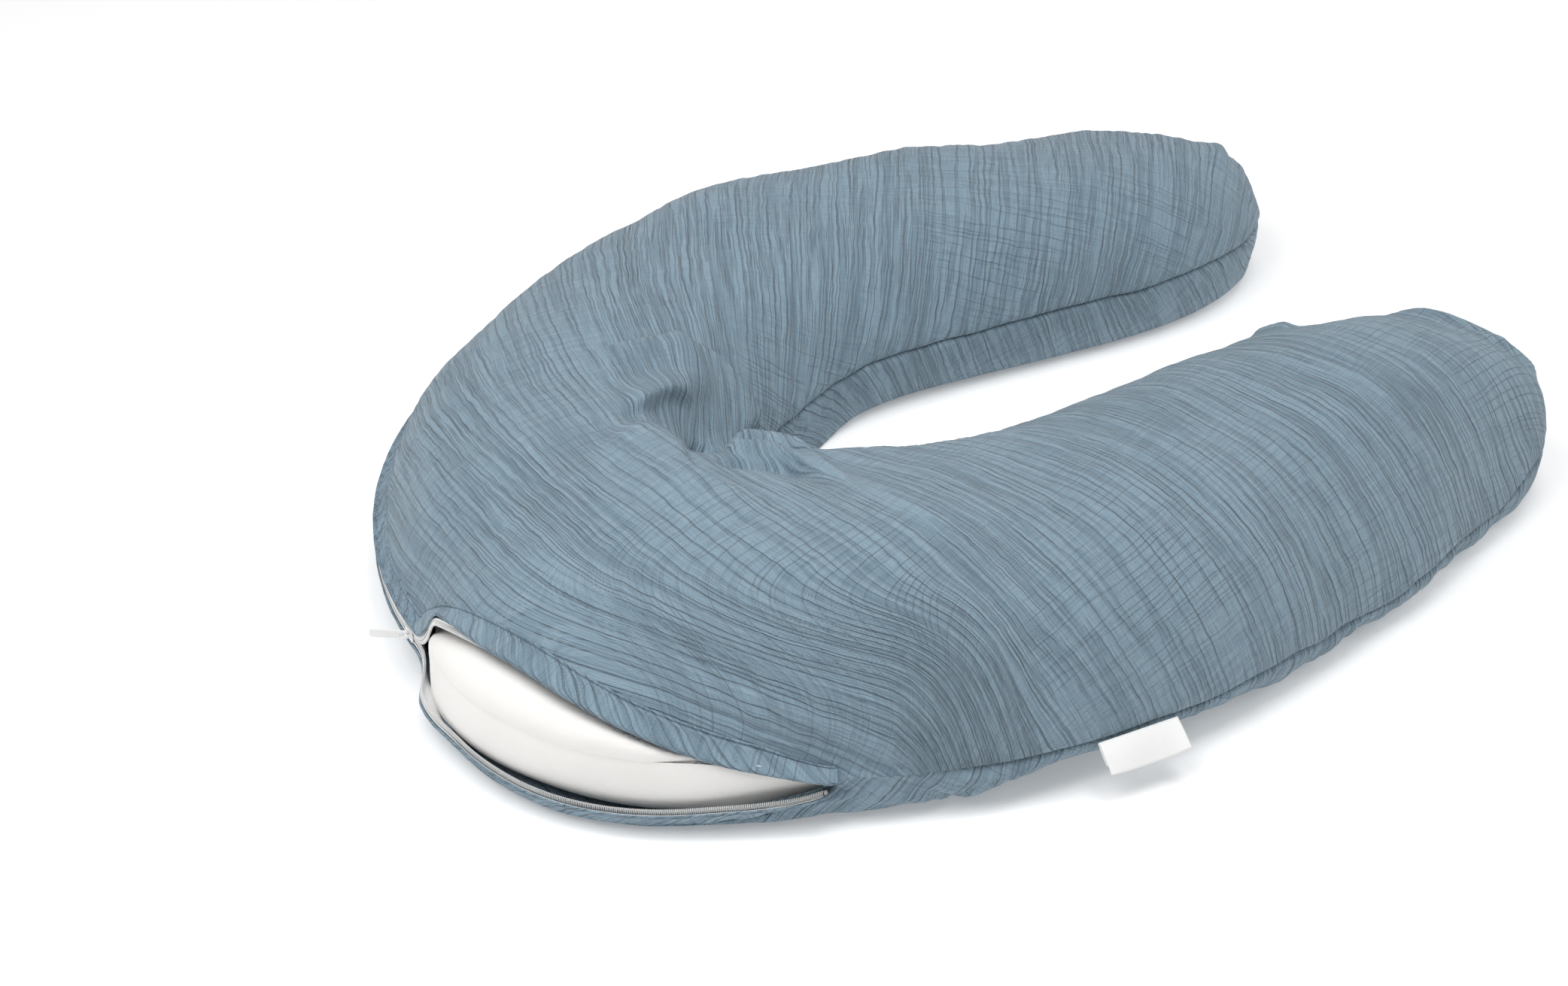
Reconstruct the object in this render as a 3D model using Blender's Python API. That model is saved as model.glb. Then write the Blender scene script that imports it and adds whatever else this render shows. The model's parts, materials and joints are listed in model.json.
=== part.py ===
"""A C-shaped nursing pillow: a sewn cloth cover with a zip, and inside it a cotton casing full of beads.

The pillow lies on Z = 0. The bend is at -X and both arms point to +X, so X is its longest side.
Places on it are given by u, which runs along the middle line from the end of the +Y arm (0), round the
bend, to the end of the -Y arm (1), and by v, which runs across from the inner seam (-1) to the outer (1).
"""

import math

import bmesh
import bpy
import numpy as np
from mathutils import Matrix, Vector

# Overall size, in metres.
LENGTH = 0.870
WIDTH = 0.710

# The middle line at equal steps of u. Each row is x as a share of LENGTH, y as a share of WIDTH,
# then the half-width towards the gap, the half-width towards the outside, and the height, in metres.
OUTLINE = (
    (0.518, 0.273, 0.127, 0.121, 0.144),
    (0.265, 0.273, 0.118, 0.125, 0.140),
    (0.019, 0.314, 0.128, 0.128, 0.141),
    (-0.203, 0.217, 0.133, 0.131, 0.141),
    (-0.310, -0.015, 0.136, 0.142, 0.148),
    (-0.210, -0.237, 0.143, 0.139, 0.157),
    (0.021, -0.308, 0.141, 0.135, 0.160),
    (0.267, -0.259, 0.130, 0.125, 0.157),
    (0.523, -0.270, 0.120, 0.113, 0.157),
)
OUTLINE_WIDTH = 0.710  # the overall width at which the half-widths above hold; they grow and shrink with WIDTH
BOX_MIDDLE = (0.0063, -0.0124)  # middle of the whole box, tab and label included, in the outline's own axes
BACK_TIP = 0.190  # length of the rounded end of the +Y arm
FRONT_TIP = 0.215  # length of the rounded end of the -Y arm

# Seam heights above the floor, and the shape of the section.
INNER_SEAM_Z = 0.060
OUTER_SEAM_Z = 0.041
TIP_SEAM_Z = 0.050
FLAT_SHARE = 0.70  # share of the half-width that lies flat on the floor

# Cloth.
COVER_THICK = 0.0015
CASING_THICK = 0.0010
CASING_GAP = 0.0025  # the cover is loose on the casing
FILLING_GAP = 0.0010
SEAM_GAP = 0.0003

# The zip, in the outer seam round the bend.
STOP_U = 0.405  # closed end of the chain
SLIDER_U = 0.511  # where the slider stands, and the opening begins
CORNER_U = 0.641  # open end of the zip
OPENING_BULGE = 0.030  # how far the casing swells out of the opening
LIP_RISE = 0.020  # how far the upper lip is drawn up over the casing
LIP_DROP = 0.024  # how far the lower lip sinks below the seam
LIP_FLARE = 0.007  # how far the lower lip stands off the casing
COIL_RADIUS = 0.0013
COIL_SPLIT = 0.0022  # from the middle of the closed chain to each coil's centre
ZIP_STAND_OFF = 0.0042  # from the outer seam to the chain
COIL_OVERHANG = 0.0042  # how far an open coil moves past its lip
LIP_TUCK = 0.0020  # how much closer to the cloth an open coil lies
LEAVE_U = 0.016  # the stretch of u in which a coil leaves the chain
LIP_BLEND_U = 0.034  # the stretch of u in which a coil moves past its lip
LIP_HOP = 0.0045  # how far a coil stands off more while it leaves the chain
CORNER_GAP_U = 0.003  # left free at the open corner
COIL_GAP = 0.0014  # between the coil and its tape's near edge
STRIP_GAP = 0.0008  # between a tape and its facing
TAPE_THICK = 0.0006
TAPE_WIDTH = 0.0100
FACING_THICK = 0.0012
UPPER_FACING_WIDTH = 0.0165
LOWER_FACING_WIDTH = 0.0070
FACING_SET_BACK = 0.0062  # from the chain's middle to the facing's edge
BOTTOM_STOP = (0.0050, 0.0075, 0.0032)  # along the zip, across it, and thick
TOP_STOP = (0.0025, 0.0028, 0.0030)

# The slider and its pull tab.
SLIDER_LENGTH = 0.0110
SLIDER_WIDTH = 0.0090
PLATE_THICK = 0.0009
COIL_CLEARANCE = 0.0004
WEB_THICK = 0.0010
WEB_LENGTH = 0.0030
ARCH_LENGTH = 0.0066
ARCH_WIDTH = 0.0018
ARCH_THICK = 0.0010
ARCH_INSIDE = 0.0020
PIN_RADIUS = 0.0006
TAB_LENGTH = 0.0270
TAB_WIDTH = 0.0062
TAB_THICK = 0.0012
TAB_EYE = 0.0058  # from the pin to the far end of the eye
TAB_ANGLE = 57.0  # the pulled tab leans this far from the chain, in degrees

# The labels.
LABEL_U = 0.729
LABEL_LENGTH = 0.062
LABEL_REACH = 0.024
LABEL_THICK = 0.0010
LABEL_DROOP = 38.0  # degrees below level
LABEL_GAP = 0.0008
CARE_U = 0.150
CARE_LENGTH = 0.025
CARE_THICK = 0.0003
CARE_ROWS = 4  # how many of the panels' steps it reaches across
CARE_SEWN_SHARE = 0.7  # how far into the last step before the seam it goes

# Mesh steps: along the +Y arm, the opening and the -Y arm, across, and along the zip.
STEPS_BACK = 22
STEPS_OPENING = 12
STEPS_FRONT = 17
STEPS_ACROSS = 12
STEPS_CLOSED = 16
STEPS_LEAVING = 24
STEPS_OPEN = 20
TUBE_SIDES = 8

CLOTH = (0.235, 0.330, 0.385, 1.0)
WHITE_COTTON = (0.850, 0.840, 0.820, 1.0)
WHITE_TAPE = (0.880, 0.880, 0.880, 1.0)
WHITE_METAL = (0.800, 0.800, 0.800, 1.0)
BEADS = (0.930, 0.930, 0.930, 1.0)


# ---------------------------------------------------------------- shape


def spline(values):
    """A natural cubic through values at equal steps of 0 to 1: returns its value and its slope at any u."""
    values = np.asarray(values, float)
    spans = len(values) - 1
    matrix = np.eye(spans + 1)
    right = np.zeros(spans + 1)
    for i in range(1, spans):
        matrix[i, i - 1 : i + 2] = (1, 4, 1)
        right[i] = 6 * (values[i - 1] - 2 * values[i] + values[i + 1])
    bend = np.linalg.solve(matrix, right)

    def at(u):
        place = np.clip(u, 0, 1) * spans
        i = np.minimum(place.astype(int), spans - 1)
        f = place - i
        g = 1 - f
        value = g * values[i] + f * values[i + 1]
        value = value + ((g**3 - g) * bend[i] + (f**3 - f) * bend[i + 1]) / 6
        slope = values[i + 1] - values[i]
        slope = slope + ((1 - 3 * g**2) * bend[i] + (3 * f**2 - 1) * bend[i + 1]) / 6
        return value, slope * spans

    return at


COLUMNS = list(zip(*OUTLINE))
MIDDLE_X = spline(np.array(COLUMNS[0]) * LENGTH - BOX_MIDDLE[0])
MIDDLE_Y = spline(np.array(COLUMNS[1]) * WIDTH - BOX_MIDDLE[1])
ARM_SCALE = WIDTH / OUTLINE_WIDTH
INNER_HALF = spline(np.array(COLUMNS[2]) * ARM_SCALE)
OUTER_HALF = spline(np.array(COLUMNS[3]) * ARM_SCALE)
HEIGHT = spline(COLUMNS[4])


def smooth(value, low, high):
    share = np.clip((value - low) / (high - low), 0, 1)
    return share * share * (3 - 2 * share)


def middle(u):
    """Point on the middle line and the level unit vector that points to the outside of the C."""
    x, dx = MIDDLE_X(u)
    y, dy = MIDDLE_Y(u)
    size = np.hypot(dx, dy)
    return np.stack([x, y], -1), np.stack([dy, -dx], -1) / size[..., None]


FINE_U = np.linspace(0, 1, 801)
FINE_STEP = np.linalg.norm(np.diff(middle(FINE_U)[0], axis=0), axis=1)
FINE_ARC = np.concatenate([[0], np.cumsum(FINE_STEP)])


def plain_outer(u):
    """The outer seam in plan, before the zip's arc and the bulge shape it."""
    point, out = middle(u)
    return point + out * OUTER_HALF(u)[0][..., None]


def circle_through(a, b, c):
    """Centre and radius of the circle through three points."""
    rows = 2 * np.array([b - a, c - a])
    centre = np.linalg.solve(rows, [b @ b - a @ a, c @ c - a @ a])
    return centre, np.linalg.norm(a - centre)


ARC_U = np.array([STOP_U, (STOP_U + SLIDER_U) / 2, SLIDER_U])
ZIP_CENTRE, SEAM_RADIUS = circle_through(*plain_outer(ARC_U))
ZIP_RADIUS = SEAM_RADIUS + ZIP_STAND_OFF


def opening(u):
    """Share of the way along the opening, from the slider (0) to its open corner (1)."""
    return np.clip((u - SLIDER_U) / (CORNER_U - SLIDER_U), 0, 1)


def bulge(u, v):
    """How far the casing's swelling in the opening moves a point out."""
    return OPENING_BULGE * np.sin(math.pi * opening(u) ** 0.8) ** 1.5 * smooth(v, 0.4, 1.0)


def outer_half(u):
    """Half-width to the outer seam. Along the zip's closed stretch the seam is an arc of a circle."""
    plain = OUTER_HALF(u)[0]
    point, out = middle(u)
    along = np.sum((point - ZIP_CENTRE) * out, -1)
    apart = np.sum((point - ZIP_CENTRE) ** 2, -1) - SEAM_RADIUS**2
    arc = -along + np.sqrt(np.maximum(along**2 - apart, 0))
    on_arc = smooth(u, STOP_U - 0.05, STOP_U - 0.01) * (1 - smooth(u, SLIDER_U + 0.01, SLIDER_U + 0.05))
    return plain + (arc - plain) * on_arc


def ends(u, inset):
    """How full the section is near the arms' rounded ends: 0 at the tip, 1 along the arm."""
    total = FINE_ARC[-1]
    place = np.interp(u, FINE_U, FINE_ARC)
    near = np.minimum((place - inset) / (BACK_TIP - inset), (total - inset - place) / (FRONT_TIP - inset))
    return np.sqrt(np.clip(1 - (1 - np.clip(near, 0, 1)) ** 2, 0, 1))


def trimmed(u, inset):
    """The same share of a middle line that is shorter by inset at both ends."""
    total = FINE_ARC[-1]
    place = inset + np.interp(u, FINE_U, FINE_ARC) * (total - 2 * inset) / total
    return np.interp(place, FINE_ARC, FINE_U)


def seam_height(u, v, full):
    inner = TIP_SEAM_Z + (INNER_SEAM_Z - TIP_SEAM_Z) * full
    outer = TIP_SEAM_Z + (OUTER_SEAM_Z - TIP_SEAM_Z) * full
    return inner + (outer - inner) * (v + 1) / 2


def surface(u, v, side, inset=0.0, lip=0.0, drop=0.0, flare=0.0):
    """Points of the pillow's upper (side 1) or lower (side -1) skin, inset by a depth of cloth.

    lip draws the outer edge of the upper skin up over the casing. drop and flare lower the outer edge
    of the lower skin and push it out.
    """
    u = trimmed(np.asarray(u, float), inset)
    v = np.asarray(v, float)
    full = ends(u, inset)
    point, out = middle(u)
    inner = (INNER_HALF(u)[0] - inset) * full
    outer = (outer_half(u) - inset) * full + flare
    half = np.where(v < 0, inner, outer)
    seam = seam_height(u, v, full)
    if side > 0:
        reach = np.where(v > 0, v * (1 - lip / np.maximum(outer, 0.02)), v)
        crown = HEIGHT(u)[0] * (0.25 + 0.75 * full**0.8) - inset
        rise = (1 - np.abs(reach) ** 2.3) ** 0.62
        z = seam + np.maximum(crown - seam, 0) * rise
        v = reach
    else:
        top = np.where(v > 0, seam - drop * v, seam) - SEAM_GAP
        curl = np.clip((np.abs(v) - FLAT_SHARE) / (1 - FLAT_SHARE), 0, 1)
        z = inset + (top - inset) * (1 - np.sqrt(1 - curl**3))
    across = half * v + bulge(u, v)
    xy = point + out * across[..., None]
    return np.concatenate([xy, z[..., None]], -1)


def lip_edge(u):
    """How far the cover's upper lip is drawn back along the opening."""
    return LIP_RISE * np.sin(math.pi * opening(u) ** 0.6) ** 2


def lip_sink(u):
    return LIP_DROP * np.sqrt(np.abs(np.sin(math.pi * opening(u))))


def lip_stand(u):
    return LIP_FLARE * np.abs(np.sin(math.pi * opening(u)))


# ---------------------------------------------------------------- solids


def material(name, colour, roughness, metallic=0.0):
    made = bpy.data.materials.new(name)
    made.use_nodes = True
    shader = made.node_tree.nodes["Principled BSDF"]
    shader.inputs["Base Color"].default_value = colour
    shader.inputs["Roughness"].default_value = roughness
    shader.inputs["Metallic"].default_value = metallic
    made.diffuse_color = colour
    return made


def add_object(name, mesh, collection, finish):
    piece = bpy.data.objects.new(name, mesh)
    piece.data.materials.append(finish)
    collection.objects.link(piece)
    return piece


def grid_steps():
    """Steps of u, closer together at both tips, and of v, closer together at both seams.

    One step falls on each end of the opening, so that every layer of cloth folds at the same place.
    """
    back = np.linspace(0, 1, STEPS_BACK + 1)
    front = np.linspace(1, 0, STEPS_FRONT + 1)
    u = (
        SLIDER_U * (0.5 * back**2 + 0.5 * back),
        np.linspace(SLIDER_U, CORNER_U, STEPS_OPENING + 1)[1:],
        (1 - (1 - CORNER_U) * (0.5 * front**2 + 0.5 * front))[1:],
    )
    v = np.sin(np.linspace(-1, 1, STEPS_ACROSS + 1) * math.pi / 2)
    return np.concatenate(u), v


def skin_points(side, inset, open_zip):
    """Both tips and the rows between them of one skin."""
    u, v = grid_steps()
    u, v = np.meshgrid(u, v, indexing="ij")
    shape = {}
    if open_zip and side > 0:
        shape = {"lip": lip_edge(u)}
    if open_zip and side < 0:
        shape = {"drop": lip_sink(u), "flare": lip_stand(u)}
    points = surface(u, v, side, inset, **shape)
    return points[0].mean(0), points[1:-1], points[-1].mean(0)


def add_skin(mesh, side, inset, open_zip, outward):
    """Adds one skin's faces to a bmesh and returns the loop of vertices along its seam."""
    first, rows, last = skin_points(side, inset, open_zip)
    start = mesh.verts.new(first)
    grid = [[mesh.verts.new(point) for point in row] for row in rows]
    end = mesh.verts.new(last)
    faces = []
    for a, b in zip(grid[0], grid[0][1:]):
        faces.append((start, a, b))
    for row, following in zip(grid, grid[1:]):
        for j in range(len(row) - 1):
            faces.append((row[j], following[j], following[j + 1], row[j + 1]))
    for a, b in zip(grid[-1], grid[-1][1:]):
        faces.append((end, b, a))
    for face in faces:
        mesh.faces.new(face if outward else face[::-1])
    inner = [row[0] for row in grid]
    outer = [row[-1] for row in grid]
    return [start, *inner, end, *outer[::-1]]


def closed_mesh(name, mesh):
    bmesh.ops.recalc_face_normals(mesh, faces=mesh.faces)
    data = bpy.data.meshes.new(name)
    mesh.to_mesh(data)
    mesh.free()
    return data


def panel(name, side, inset, thick, open_zip, collection, finish):
    """One sewn panel: an outer skin, an inner skin, and the cut edge between them along the seam."""
    mesh = bmesh.new()
    outside = add_skin(mesh, side, inset, open_zip, True)
    inside = add_skin(mesh, side, inset + thick, open_zip, False)
    count = len(outside)
    for i in range(count):
        j = (i + 1) % count
        mesh.faces.new((outside[i], outside[j], inside[j], inside[i]))
    return add_object(name, closed_mesh(name, mesh), collection, finish)


def filling(name, inset, collection, finish):
    """The mass of beads: upper and lower skins joined along their seam."""
    mesh = bmesh.new()
    upper = add_skin(mesh, 1, inset, False, True)
    lower = add_skin(mesh, -1, inset, False, False)
    count = len(upper)
    for i in range(count):
        j = (i + 1) % count
        mesh.faces.new((upper[i], upper[j], lower[j], lower[i]))
    return add_object(name, closed_mesh(name, mesh), collection, finish)


def strip(name, first, second, lift, thick, collection, finish):
    """A band of cloth between two edges, with its thickness along lift."""
    mesh = bmesh.new()
    rings = []
    for a, b, up in zip(first, second, lift):
        corners = (a, b, b + up * thick, a + up * thick)
        rings.append([mesh.verts.new(corner) for corner in corners])
    for ring, following in zip(rings, rings[1:]):
        for j in range(4):
            k = (j + 1) % 4
            mesh.faces.new((ring[j], ring[k], following[k], following[j]))
    mesh.faces.new(rings[0])
    mesh.faces.new(rings[-1])
    return add_object(name, closed_mesh(name, mesh), collection, finish)


def tube(name, points, radius, collection, finish):
    """A round cord along points, as a poly curve with filled caps."""
    curve = bpy.data.curves.new(name, "CURVE")
    curve.dimensions = "3D"
    curve.bevel_depth = radius
    curve.bevel_resolution = TUBE_SIDES // 4
    curve.use_fill_caps = True
    line = curve.splines.new("POLY")
    line.points.add(len(points) - 1)
    for knot, point in zip(line.points, points):
        knot.co = (*point, 1)
    return add_object(name, curve, collection, finish)


def box_mesh(mesh, size, place):
    """Adds a box of that size, centred at place, to a bmesh."""
    made = bmesh.ops.create_cube(mesh, size=1)
    matrix = Matrix.Translation(place) @ Matrix.Diagonal((*size, 1))
    bmesh.ops.transform(mesh, matrix=matrix, verts=made["verts"])


def oriented_box(name, size, place, along, out, collection, finish):
    """A box whose length lies along one direction and whose thickness lies along another."""
    mesh = bmesh.new()
    box_mesh(mesh, size, (0, 0, 0))
    block = add_object(name, closed_mesh(name, mesh), collection, finish)
    x_axis = Vector(along).normalized()
    y_axis = Vector(out).cross(x_axis).normalized()
    turned = Matrix((x_axis, y_axis, x_axis.cross(y_axis))).transposed().to_4x4()
    block.matrix_world = Matrix.Translation(Vector(place)) @ turned
    return block


def helper(name, mesh, cutters):
    """A hidden solid that only shapes another."""
    piece = bpy.data.objects.new(name, closed_mesh(name, mesh))
    piece.hide_render = True
    piece.display_type = "WIRE"
    cutters.objects.link(piece)
    return piece


def combine(piece, other, operation):
    step = piece.modifiers.new(other.name, "BOOLEAN")
    step.operation = operation
    step.solver = "EXACT"
    step.object = other


# ---------------------------------------------------------------- zip line


def angle_at(u):
    point = plain_outer(np.array([u]))[0] - ZIP_CENTRE
    return math.atan2(point[1], point[0]) % (2 * math.pi)


STOP_ANGLE = angle_at(STOP_U)
SLIDER_ANGLE = angle_at(SLIDER_U)
CHAIN_CENTRE = np.array([*ZIP_CENTRE, OUTER_SEAM_Z])


def arc_out(angle):
    """Level unit vector from the arc's centre."""
    return np.stack([np.cos(angle), np.sin(angle), np.zeros_like(angle)], -1)


def arc_along(angle):
    """Level unit vector along the arc, towards the open end."""
    return np.stack([-np.sin(angle), np.cos(angle), np.zeros_like(angle)], -1)


def unit(vectors):
    return vectors / np.linalg.norm(vectors, axis=-1)[..., None]


def zip_frames(side):
    """Centres of one half's coil, from the closed end to the open corner.

    With each comes the way out of the cloth and the way back along it, so that tape and facing follow.
    """
    angles = np.linspace(STOP_ANGLE, SLIDER_ANGLE, STEPS_CLOSED)
    up = np.array([0, 0, side])
    leaving = np.linspace(SLIDER_U, SLIDER_U + LIP_BLEND_U, STEPS_LEAVING + 1)[1:]
    opened = np.linspace(SLIDER_U + LIP_BLEND_U, CORNER_U - CORNER_GAP_U, STEPS_OPEN + 1)[1:]
    u = np.concatenate([leaving, opened])
    edge = np.ones_like(u)
    if side > 0:
        shape = {"lip": lip_edge(u)}
    else:
        shape = {"drop": lip_sink(u), "flare": lip_stand(u)}
    lip = surface(u, edge, side, **shape)
    back = unit(surface(u, edge - 0.02, side, **shape) - lip)
    out = unit(np.cross(np.gradient(lip, u, axis=0), back)) * side
    share = smooth(u, SLIDER_U, SLIDER_U + LIP_BLEND_U)
    free = (share * (1 - smooth(u, CORNER_U - LIP_BLEND_U, u[-1])))[:, None]
    hop = (4 * share * (1 - share))[:, None] * LIP_HOP
    lift = ZIP_STAND_OFF - free * LIP_TUCK + hop
    placed = lip + out * lift + back * (COIL_SPLIT - free * COIL_OVERHANG)
    carried_angle = np.arctan2(lip[:, 1] - ZIP_CENTRE[1], lip[:, 0] - ZIP_CENTRE[0])
    carried_out = arc_out(carried_angle)
    carried = CHAIN_CENTRE + carried_out * ZIP_RADIUS + up * COIL_SPLIT
    leave = smooth(u, SLIDER_U + 0.001, SLIDER_U + LEAVE_U)[:, None]
    closed = CHAIN_CENTRE + arc_out(angles) * ZIP_RADIUS + up * COIL_SPLIT
    centres = np.concatenate([closed, carried + (placed - carried) * leave])
    outs = np.concatenate([arc_out(angles), unit(carried_out + (out - carried_out) * leave)])
    backs = np.concatenate([np.tile(up, (len(angles), 1)), unit(up + (back - up) * leave)])
    return centres, outs, backs


def make_zip_half(side, name, facing_width, collection, cloth, white):
    centres, outs, backs = zip_frames(side)
    tube(f"zip_coil_{name}", centres, COIL_RADIUS, collection, white)
    near = centres + outs * (-TAPE_THICK / 2) + backs * (COIL_RADIUS + COIL_GAP)
    strip(f"zip_tape_{name}", near, near + backs * TAPE_WIDTH, outs, TAPE_THICK, collection, white)
    near = centres + outs * (TAPE_THICK / 2 + STRIP_GAP) + backs * (FACING_SET_BACK - COIL_SPLIT)
    far = near + backs * facing_width
    strip(f"zip_facing_{name}", near, far, outs, FACING_THICK, collection, cloth)
    along = unit(centres[-1] - centres[-2])
    place = centres[-1] + along * (SEAM_GAP + TOP_STOP[0] / 2)
    oriented_box(f"top_stop_{name}", TOP_STOP, place, along, outs[-1], collection, white)


def make_bottom_stop(collection, white):
    angle = np.array(STOP_ANGLE - (SEAM_GAP + BOTTOM_STOP[0] / 2) / ZIP_RADIUS)
    out = arc_out(angle)
    place = CHAIN_CENTRE + out * ZIP_RADIUS
    oriented_box("bottom_stop", BOTTOM_STOP, place, arc_along(angle), out, collection, white)


# ---------------------------------------------------------------- slider

SLIDER_PLACE = SLIDER_ANGLE - SLIDER_LENGTH / 2 / ZIP_RADIUS


def slider_matrix():
    """Local X runs along the chain to the open end, local Y down and local Z out of the pillow."""
    angle = np.array(SLIDER_PLACE)
    along = Vector(arc_along(angle))
    out = Vector(arc_out(angle))
    down = out.cross(along)
    place = Vector(CHAIN_CENTRE + arc_out(angle) * ZIP_RADIUS)
    return Matrix.Translation(place) @ Matrix((along, down, out)).transposed().to_4x4()


def make_slider(collection, cutters, metal):
    inner = COIL_RADIUS + COIL_CLEARANCE
    outer = inner + PLATE_THICK
    mesh = bmesh.new()
    plate = (SLIDER_LENGTH, SLIDER_WIDTH, PLATE_THICK)
    box_mesh(mesh, plate, (0, 0, inner + PLATE_THICK / 2))
    slider = add_object("slider_body", closed_mesh("slider_body", mesh), collection, metal)
    parts = {
        "slider_back_plate": (plate, (0, 0, -inner - PLATE_THICK / 2)),
        "slider_web": (
            (WEB_LENGTH, WEB_THICK, inner * 2 + PLATE_THICK),
            (SLIDER_LENGTH / 2 - WEB_LENGTH / 2, 0, 0),
        ),
        "arch_block": (
            (ARCH_LENGTH, ARCH_WIDTH, ARCH_INSIDE + ARCH_THICK + PLATE_THICK / 2),
            (0, 0, outer + (ARCH_INSIDE + ARCH_THICK - PLATE_THICK / 2) / 2),
        ),
    }
    matrix = slider_matrix()
    slider.matrix_world = matrix
    for name, (size, place) in parts.items():
        mesh = bmesh.new()
        box_mesh(mesh, size, place)
        other = helper(name, mesh, cutters)
        other.matrix_world = matrix
        combine(slider, other, "UNION")
    mesh = bmesh.new()
    inside = (ARCH_LENGTH - 2 * ARCH_THICK, ARCH_WIDTH * 3, ARCH_INSIDE)
    box_mesh(mesh, inside, (0, 0, outer + ARCH_INSIDE / 2))
    window = helper("arch_window", mesh, cutters)
    window.matrix_world = matrix
    combine(slider, window, "DIFFERENCE")
    return outer + ARCH_INSIDE / 2


def rounded_outline(curve, low, high, half, corner):
    """A closed 2D spline: a bar along X from low to high with round corners."""
    corners = (
        (high - corner, half - corner, 0),
        (low + corner, half - corner, 90),
        (low + corner, corner - half, 180),
        (high - corner, corner - half, 270),
    )
    points = []
    for x, y, start in corners:
        for step in range(5):
            turn = math.radians(start + step * 22.5)
            points.append((x + corner * math.cos(turn), y + corner * math.sin(turn)))
    line = curve.splines.new("POLY")
    line.points.add(len(points) - 1)
    line.use_cyclic_u = True
    for knot, (x, y) in zip(line.points, points):
        knot.co = (x, y, 0, 1)


def make_pull_tab(pin_height, collection, metal):
    """The tab's eye holds the arch, and the bar at its end is the pin that turns under the arch."""
    curve = bpy.data.curves.new("pull_tab", "CURVE")
    curve.dimensions = "2D"
    curve.fill_mode = "BOTH"
    curve.extrude = TAB_THICK / 2
    rounded_outline(curve, -PIN_RADIUS, TAB_LENGTH, TAB_WIDTH / 2, TAB_WIDTH * 0.3)
    eye_half = ARCH_WIDTH / 2 + COIL_CLEARANCE
    rounded_outline(curve, PIN_RADIUS, TAB_EYE, eye_half, eye_half * 0.4)
    tab = add_object("pull_tab", curve, collection, metal)
    matrix = slider_matrix()
    along = matrix.col[0].to_3d()
    out = matrix.col[2].to_3d()
    lean = math.radians(TAB_ANGLE)
    reach = out * math.sin(lean) - along * math.cos(lean)
    up = Vector((0, 0, 1))
    pin = matrix @ Vector((0, 0, pin_height))
    turned = Matrix((reach, up, reach.cross(up))).transposed().to_4x4()
    tab.matrix_world = Matrix.Translation(pin) @ turned
    return pin


# ---------------------------------------------------------------- labels


def label_frame():
    """Middle of the label's sewn edge, the way along the seam, and the way out."""
    u = np.array([LABEL_U - 0.001, LABEL_U, LABEL_U + 0.001])
    seam = surface(u, np.ones(3), 1)
    along = unit(seam[2] - seam[0])
    out = np.array([along[1], -along[0], 0])
    out = unit(out * np.sign(np.dot(out[:2], middle(u)[1][1])))
    return seam[1] + out * LABEL_GAP, along, out


def make_side_label(collection, white):
    """A folded loop of tape, hanging from the seam by its sewn edge."""
    edge, along, out = label_frame()
    droop = math.radians(LABEL_DROOP)
    reach = out * math.cos(droop) - np.array([0, 0, math.sin(droop)])
    mesh = bmesh.new()
    box_mesh(mesh, (LABEL_LENGTH, LABEL_REACH, LABEL_THICK), (0, LABEL_REACH / 2, 0))
    label = add_object("side_label", closed_mesh("side_label", mesh), collection, white)
    normal = np.cross(along, reach)
    turned = Matrix((Vector(along), Vector(reach), Vector(normal))).transposed().to_4x4()
    label.matrix_world = Matrix.Translation(Vector(edge)) @ turned
    return edge, along


def make_care_label(collection, white):
    """Sewn into the seam of the +Y arm, inside the cover, with its tail under the casing.

    Its rows fall on the panels' own steps, so that it folds where they do.
    """
    v = grid_steps()[1][-CARE_ROWS:]
    depth = COVER_THICK + (CASING_GAP - CARE_THICK) / 2
    half = CARE_LENGTH / 2 / FINE_ARC[-1]
    rows = [surface(np.full_like(v, CARE_U + at), v, -1, depth) for at in (-half, half)]
    deeper = surface(np.full_like(v, CARE_U), v, -1, depth + CARE_THICK)
    lift = unit(deeper - surface(np.full_like(v, CARE_U), v, -1, depth))
    for row in rows:
        row[-1] = row[-2] + (row[-1] - row[-2]) * CARE_SEWN_SHARE
    strip("care_label", *rows, lift, CARE_THICK, collection, white)


# ---------------------------------------------------------------- pieces


def make_cover(collection, cloth):
    panel("cover_top_panel", 1, 0.0, COVER_THICK, True, collection, cloth)
    panel("cover_bottom_panel", -1, 0.0, COVER_THICK, True, collection, cloth)


def make_inner_pillow(collection, cotton, beads):
    inset = COVER_THICK + CASING_GAP
    panel("casing_top_panel", 1, inset, CASING_THICK, False, collection, cotton)
    panel("casing_bottom_panel", -1, inset, CASING_THICK, False, collection, cotton)
    filling("bead_filling", inset + CASING_THICK + FILLING_GAP, collection, beads)


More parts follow.
